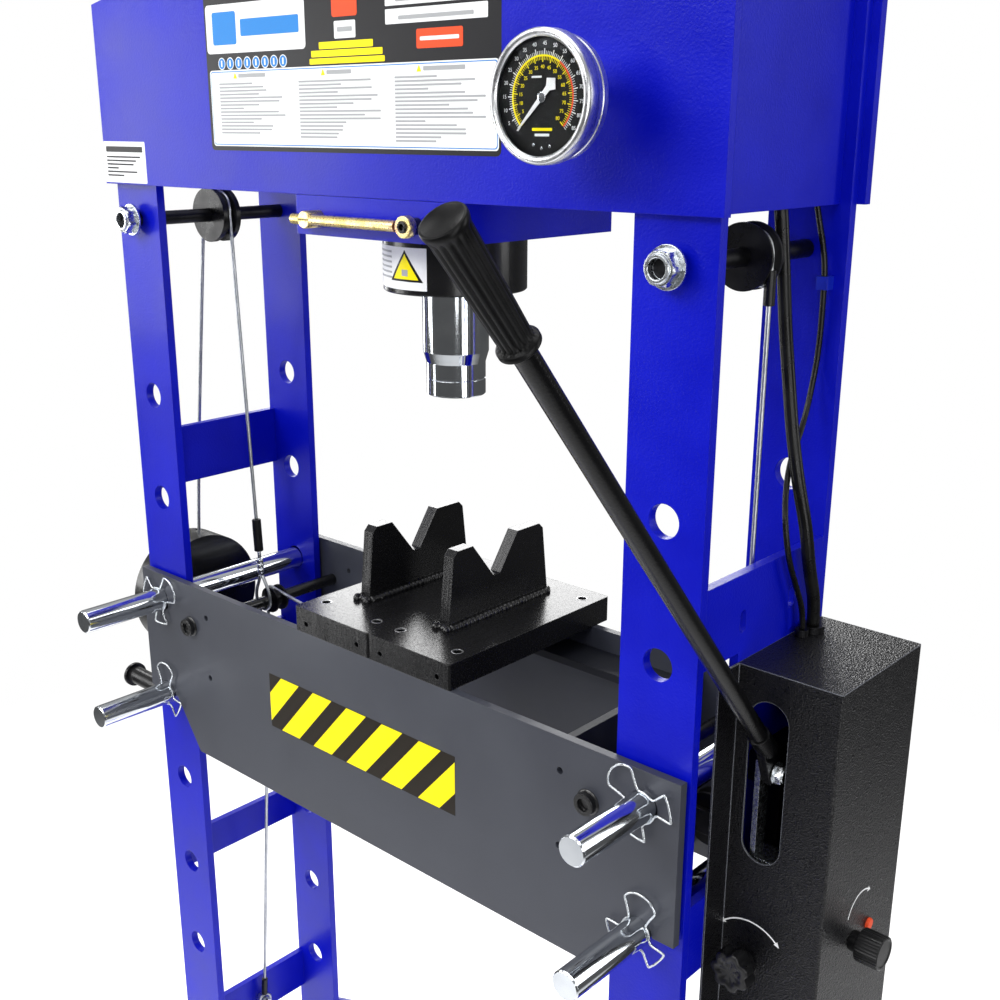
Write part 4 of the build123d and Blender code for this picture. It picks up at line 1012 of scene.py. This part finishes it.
# ---- Pump box, knobs and lever ------------------------------------------------------------------
def add_pump_marks():
    curve = arc_strip(*RELEASE_KNOB, 44, 45.6, 48, 132, 30)
    heads = []
    for angle, turn in ((132, 1), (48, -1)):
        a = radians(angle)
        base = Vector((RELEASE_KNOB[0] + 44.8 * cos(a), RELEASE_KNOB[1] + 44.8 * sin(a)))
        way = Vector((-sin(a), cos(a))) * turn
        across = Vector((-way.y, way.x))
        tip = base + way * 6
        heads.append([tuple(base - across * 3), tuple(tip), tuple(base + across * 3)])
    add_art("release_arrow", [(ink_white, 0, curve + heads)], on_front(BOX_FRONT_Y), "root", 0.15)
    curve = arc_strip(*SELECTOR_KNOB, 27, 28.6, 60, 165, 24)
    a = radians(60)
    base = Vector((SELECTOR_KNOB[0] + 27.8 * cos(a), SELECTOR_KNOB[1] + 27.8 * sin(a)))
    curve.append([tuple(base + Vector(corner)) for corner in ((-1.5, -2.6), (5.2, -3), (1.5, 2.6))])
    add_art("selector_arrow", [(ink_white, 0, curve)], on_right(BOX_RIGHT_X), "root", 0.15)
    plug = Build()
    plug.lathe([(0, -1), (6.4, -1), (6.4, 2.0), (5.6, 3.2), (0, 3.4)], (BOX_RIGHT_X, 58, 871), (1, 0, 0), 36)
    smooth_by_angle(plug.make("red_plug", "root", "black_plastic", ink_red))


def add_link_nut():
    """The lock nut and washer on the bolt that joins the lever's socket to the plunger's link."""
    nut = Build()
    nut.lathe([(6.1, 0), (11.4, 0), (11.6, 0.3), (11.6, 1.2), (11.4, 1.5), (6.1, 1.5)],
              (510.6, -38, 1062), (1, 0, 0), 40, True)
    lock_nut(nut, (512.1, -38, 1062), (1, 0, 0), 18, 9.2, 6.0, 20)
    smooth_by_angle(nut.make("link_nut", "lever", "bright_zinc", zinc), 22)


def fluted(build, base, way, stations, ribs, depth, sides=96):
    """A grip with flutes along it; stations are (radius, distance, share of the flute's depth)."""
    side, up, way = basis(way)
    base = Vector(base)
    build.rings([circle(base + way * distance, side, up, sides,
                        lambda a: max(radius - depth * share * (0.5 + 0.5 * cos(ribs * a)) ** 2, 0.02))
                 for radius, distance, share in stations])


def add_lever_grip():
    way = Vector((0, -421 + 50, 1533 - 1091)).normalized()
    base = Vector((LEVER_X, -421, 1533))
    grip = Build()
    stations = [(10.0, -0.2, 0), (15.6, 0.0, 0), (16.5, 0.9, 0), (16.5, 3.9, 0), (15.6, 5.0, 0),
                (13.2, 6.2, 0.0), (12.8, 8, 1), (13.0, 14, 1)]
    stations += [(13.0 + 2.4 * k / 10, 14 + 88 * k / 10, 1) for k in range(1, 11)]
    stations += [(15.9, 105, 0.6), (16.6, 107, 0), (17.0, 109, 0), (17.0, 111.4, 0), (16.4, 112.6, 0),
                 (15.0, 112.9, 0), (14.2, 112.4, 0), (0.0, 112.3, 0)]
    fluted(grip, base, way, stations, 16, 1.5, 128)
    made = smooth_by_angle(grip.make("lever_grip_rubber", "lever", "grip_rubber", grip_rubber), 40)
    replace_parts(made, "lever_grip")


def lobed(build, origin, axis, radius, lobes, dip, stations, sides=112):
    """A star knob; stations are (scale, height)."""
    side, up, way = basis(axis)
    origin = Vector(origin)
    build.rings([circle(origin + way * height, side, up, sides,
                        lambda a: max((radius - dip * (0.5 - 0.5 * cos(lobes * a)) ** 1.4) * scale, 0.02))
                 for scale, height in stations])


def add_knobs():
    star = Build()
    stations = [(0.93, 0.1), (0.985, 0.9), (1.0, 2.5), (1.0, 16.5), (0.985, 18.6), (0.93, 19.7), (0.80, 20.0),
                (0.60, 19.4), (0.52, 18.4), (0.0, 18.3)]
    lobed(star, (497, -62, 845), (0, -1, 0), 23.0, 7, 4.4, stations)
    star.lathe([(0, 0), (11, 0), (11, 12), (0, 12)], (497, -62, 845), (0, 1, 0), 40)
    star.lathe([(0, 0), (5, 0), (5, 12), (0, 12)], (497, -50, 845), (0, 1, 0), 24)
    made = smooth_by_angle(star.make("release_knob_star", "release_knob", "black_plastic", plastic), 30)
    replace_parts(made, "release_knob")
    dial = Build()
    stations = [(11, 0, 0), (17.0, 0.2, 0), (17.8, 1.2, 0.4), (18.0, 3, 1), (18.0, 24, 1), (17.6, 25.4, 0.4),
                (16.6, 26, 0), (14.6, 26, 0), (13.8, 25.3, 0), (0, 25.3, 0)]
    fluted(dial, (590, 18, 873), (1, 0, 0), stations, 28, 0.9, 168)
    dial.lathe([(0, 0), (9.5, 0), (10.8, 1.2), (11, 4), (11, 11), (0, 11)], (579, 18, 873), (1, 0, 0), 40)
    dial.lathe([(0, 0), (4, 0), (4, 36), (0, 36)], (542, 18, 873), (1, 0, 0), 20)
    made = smooth_by_angle(dial.make("selector_knob_dial", "selector_knob", "black_plastic", plastic), 30)
    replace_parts(made, "selector_knob")


# ---- Welds and rivets ---------------------------------------------------------------------------
def weld_bead(build, start, end, radius, seed, sides=12):
    """A lumpy bead laid in overlapping ripples from start to end."""
    a = Vector(start)
    b = Vector(end)
    way = (b - a).normalized()
    side, up, way = basis(way)
    total = (b - a).length
    count = max(6, int(total / 0.9))
    rings = []
    for k in range(count + 1):
        d = total * k / count
        ripple = 0.86 + 0.16 * abs(sin(d / 2.3)) + 0.16 * noise.noise(Vector((d * 0.11, seed, 0.3)))
        end_share = min(1.0, sqrt(max(0.0, min(d, total - d)) / 4.0) + 0.25)
        drift = 0.5 * noise.noise(Vector((seed, d * 0.07, 1.3)))
        full = radius * ripple * end_share
        rings.append(circle(a + way * d + side * drift, side, up, sides,
                            lambda t: full * (1 + 0.08 * noise.noise(Vector((cos(t) + seed, sin(t), d * 0.6))))))
    build.rings(rings)


V_PLATES = {"v_block_left": (-74.0, -58.0), "v_block_right": (66.0, 82.0)}
V_BASE_Z = 1101.0


def add_v_block_welds():
    """Lumpy fillet welds all round the foot of each V-plate."""
    for name, (low, high) in V_PLATES.items():
        build = Build()
        z = V_BASE_Z + 1.2
        weld_bead(build, (low - 1.2, -63, z), (low - 1.2, 119, z), 5.8, low)
        weld_bead(build, (high + 1.2, -63, z), (high + 1.2, 119, z), 5.8, high)
        weld_bead(build, (low - 2, -63.2, z), (high + 2, -63.2, z), 5.2, low + 3)
        weld_bead(build, (low - 2, 119.2, z), (high + 2, 119.2, z), 5.2, low + 5)
        for x, seed in ((low - 1, low + 7), (high + 1, high + 9)):
            weld_bead(build, (x - 4, -66, z), (x + 4, -66.5, z + 1), 6.2, seed)
        build.make(f"{name}_welds", name, "black_gloss", gloss_black, True)


def rim(build, origin, axis, inner, outer, proud):
    """A thin bright ring round a hole, with the hole's bore left open."""
    profile = ((inner, -2.0), (outer, -0.4), (outer, proud * 0.5), (outer - 0.4, proud), (inner + 0.3, proud),
               (inner, 0.0))
    build.lathe(profile, origin, axis, 32, True)


def add_handle():
    """The carriage's bent rod handle: a foot at the left and a flattened eye with a bolt at the right."""
    rod = Build()
    bends = [(-74, -147, HANDLE_Z), (-60, -147, HANDLE_Z), (20, -147, HANDLE_Z), (86, -147, HANDLE_Z),
             (101, -146.4, HANDLE_Z)]
    path = softened(bends, 2, False)
    line = [Vector(spot) * MM for spot in path]
    rings = cord_piece(line, lambda travelled, angle: 0.006, 24)
    rod.add(rings.verts, rings.faces)
    rod.lathe([(0, -130), (9.5, -130), (9.5, -151.6), (8.6, -153), (0, -153)], (-45, 0, HANDLE_Z), (0, 1, 0), 40)
    rod.lathe([(6.4, -141), (10.8, -141), (11.4, -142), (11.4, -150), (10.8, -151), (6.4, -151)],
              HANDLE_BOLT, (0, 1, 0), 40, True)
    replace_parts(smooth_by_angle(rod.make("handle_rod", "carriage", "yellow_zinc", gold)), "carriage_handle")
    bolt = Build()
    bolt.lathe([(0, -130), (8.6, -130), (8.6, -141), (6.3, -141.2), (6.3, -152.2), (5.6, -152.9),
                (3.4, -152.9), (3.2, -148), (0, -148)], HANDLE_BOLT, (0, 1, 0), 40)
    smooth_by_angle(bolt.make("handle_bolt", "carriage", "yellow_zinc", case_black))


def tube_along(build, start, end, radius, sides=24):
    """A plain round length with slightly eased ends."""
    way = Vector(end) - Vector(start)
    run = way.length
    build.lathe([(0, 0), (radius * 0.9, 0), (radius, 0.6), (radius, run - 0.6), (radius * 0.9, run), (0, run)],
                start, way, sides)


def add_rope_fittings():
    """Shrink sleeves, crimped ferrules, the table end's rope eye and the lower anchor."""
    sleeves = Build()
    start = Vector((-360.6, -5.6, 1132))
    way = Vector((28.2, -6.9, -413)).normalized()
    tube_along(sleeves, start, start + way * 47, 6.5)
    tube_along(sleeves, (445.5, 0, 1512), (445.5, 0, 1545), 5.5)
    tube_along(sleeves, (-437.2, 13, 300), (-440.4, 13, 268), 5)
    made = smooth_by_angle(sleeves.make("rope_sleeves", "root", "black_plastic", plastic))
    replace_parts(made, "rope_fittings")
    bright = Build()
    tube_along(bright, start + way * 46, start + way * 60, 2.5)
    bright.lathe([(0, 59), (4.6, 59), (5, 60), (5, 65), (4.4, 66), (5, 67), (5, 72), (4.4, 73), (5, 74),
                  (5, 79), (4.6, 80), (0, 80)], start, way, 32)
    tube_along(bright, (-455, 13, 254), (-430, 13, 254), 7.5)
    smooth_by_angle(bright.make("rope_ferrules", "root", "bright_zinc", zinc))
    neck = start + way * 79
    eye = [neck, (-359.5, -7, 1040), (-369, -7, 1020), (-367, -7, 1003), (-352, -7, 994.5),
           (-337, -7, 1003), (-335.5, -7, 1020), (-347, -7, 1042), neck]
    wire("rope_eye", softened([tuple(v) for v in eye], 3, False), 2.3, "root", rope_steel)
    ring = [(-441, 13 + 11.5 * cos(2 * pi * k / 24), 254 + 11.5 * sin(2 * pi * k / 24)) for k in range(24)]
    wire("anchor_eye", ring, 2.5, "root", rope_steel, True)


def add_hole_rims():
    """Worn bright edges of the tapped holes in the V-blocks' bases."""
    for name, centre in (("v_block_left", -49.75), ("v_block_right", 85.25)):
        rims = Build()
        for s in (-1, 1):
            for y in (-100, 127):
                rim(rims, (centre + s * 47, y, V_BASE_Z), (0, 0, 1), 5.5, 7.2, 0.25)
        smooth_by_angle(rims.make(f"{name}_rims", name, "bare_steel", steel))


def add_tie_heads():
    """The tie bolts' round flanged heads with a hexagon recess, on the table's front and rear."""
    heads = Build()
    for side in (-1, 1):
        for way in (-1, 1):
            heads.lathe([(0, 0.1), (14.2, 0.1), (14.4, 0.8), (13.6, 1.8), (12.4, 2.2), (12.4, 8.4), (11.6, 9.4),
                         (7.4, 9.4), (7.0, 8.8), (7.0, 5.2), (0, 5.0)],
                        (side * TIE_X, way * 134, TIE_Z), (0, way, 0), 48)
        heads.lathe([(0, -134), (8.5, -134), (8.5, 134), (0, 134)], (side * TIE_X, 0, TIE_Z), (0, 1, 0), 32)
    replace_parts(smooth_by_angle(heads.make("tie_bolts", "table", "black_oxide", case_black)), "table_tie_rods")


def add_rivets():
    build = Build()
    for y in (-52, 40):
        build.lathe([(0, -0.5), (6.4, -0.5), (6.4, 0.6), (5.2, 2.4), (2.8, 3.5), (0, 3.8)],
                    (-465, y, 588), (-1, 0, 0), 28)
    smooth_by_angle(build.make("brace_rivets", "root", "bright_zinc", zinc))


# ---- Making -------------------------------------------------------------------------------------
make_camera()
add_cords()
dress_frame()
make_studio()
add_head_label()
add_hazard_label()
add_cylinder_label()
add_dial_marks()
add_pointer()
add_gauge_case()
add_pins()
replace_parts(add_shaft_ends(), "shaft_nuts")
add_pump_marks()
add_link_nut()
add_lever_grip()
add_knobs()
add_v_block_welds()
add_handle()
add_rope_fittings()
add_hole_rims()
add_tie_heads()
add_rivets()
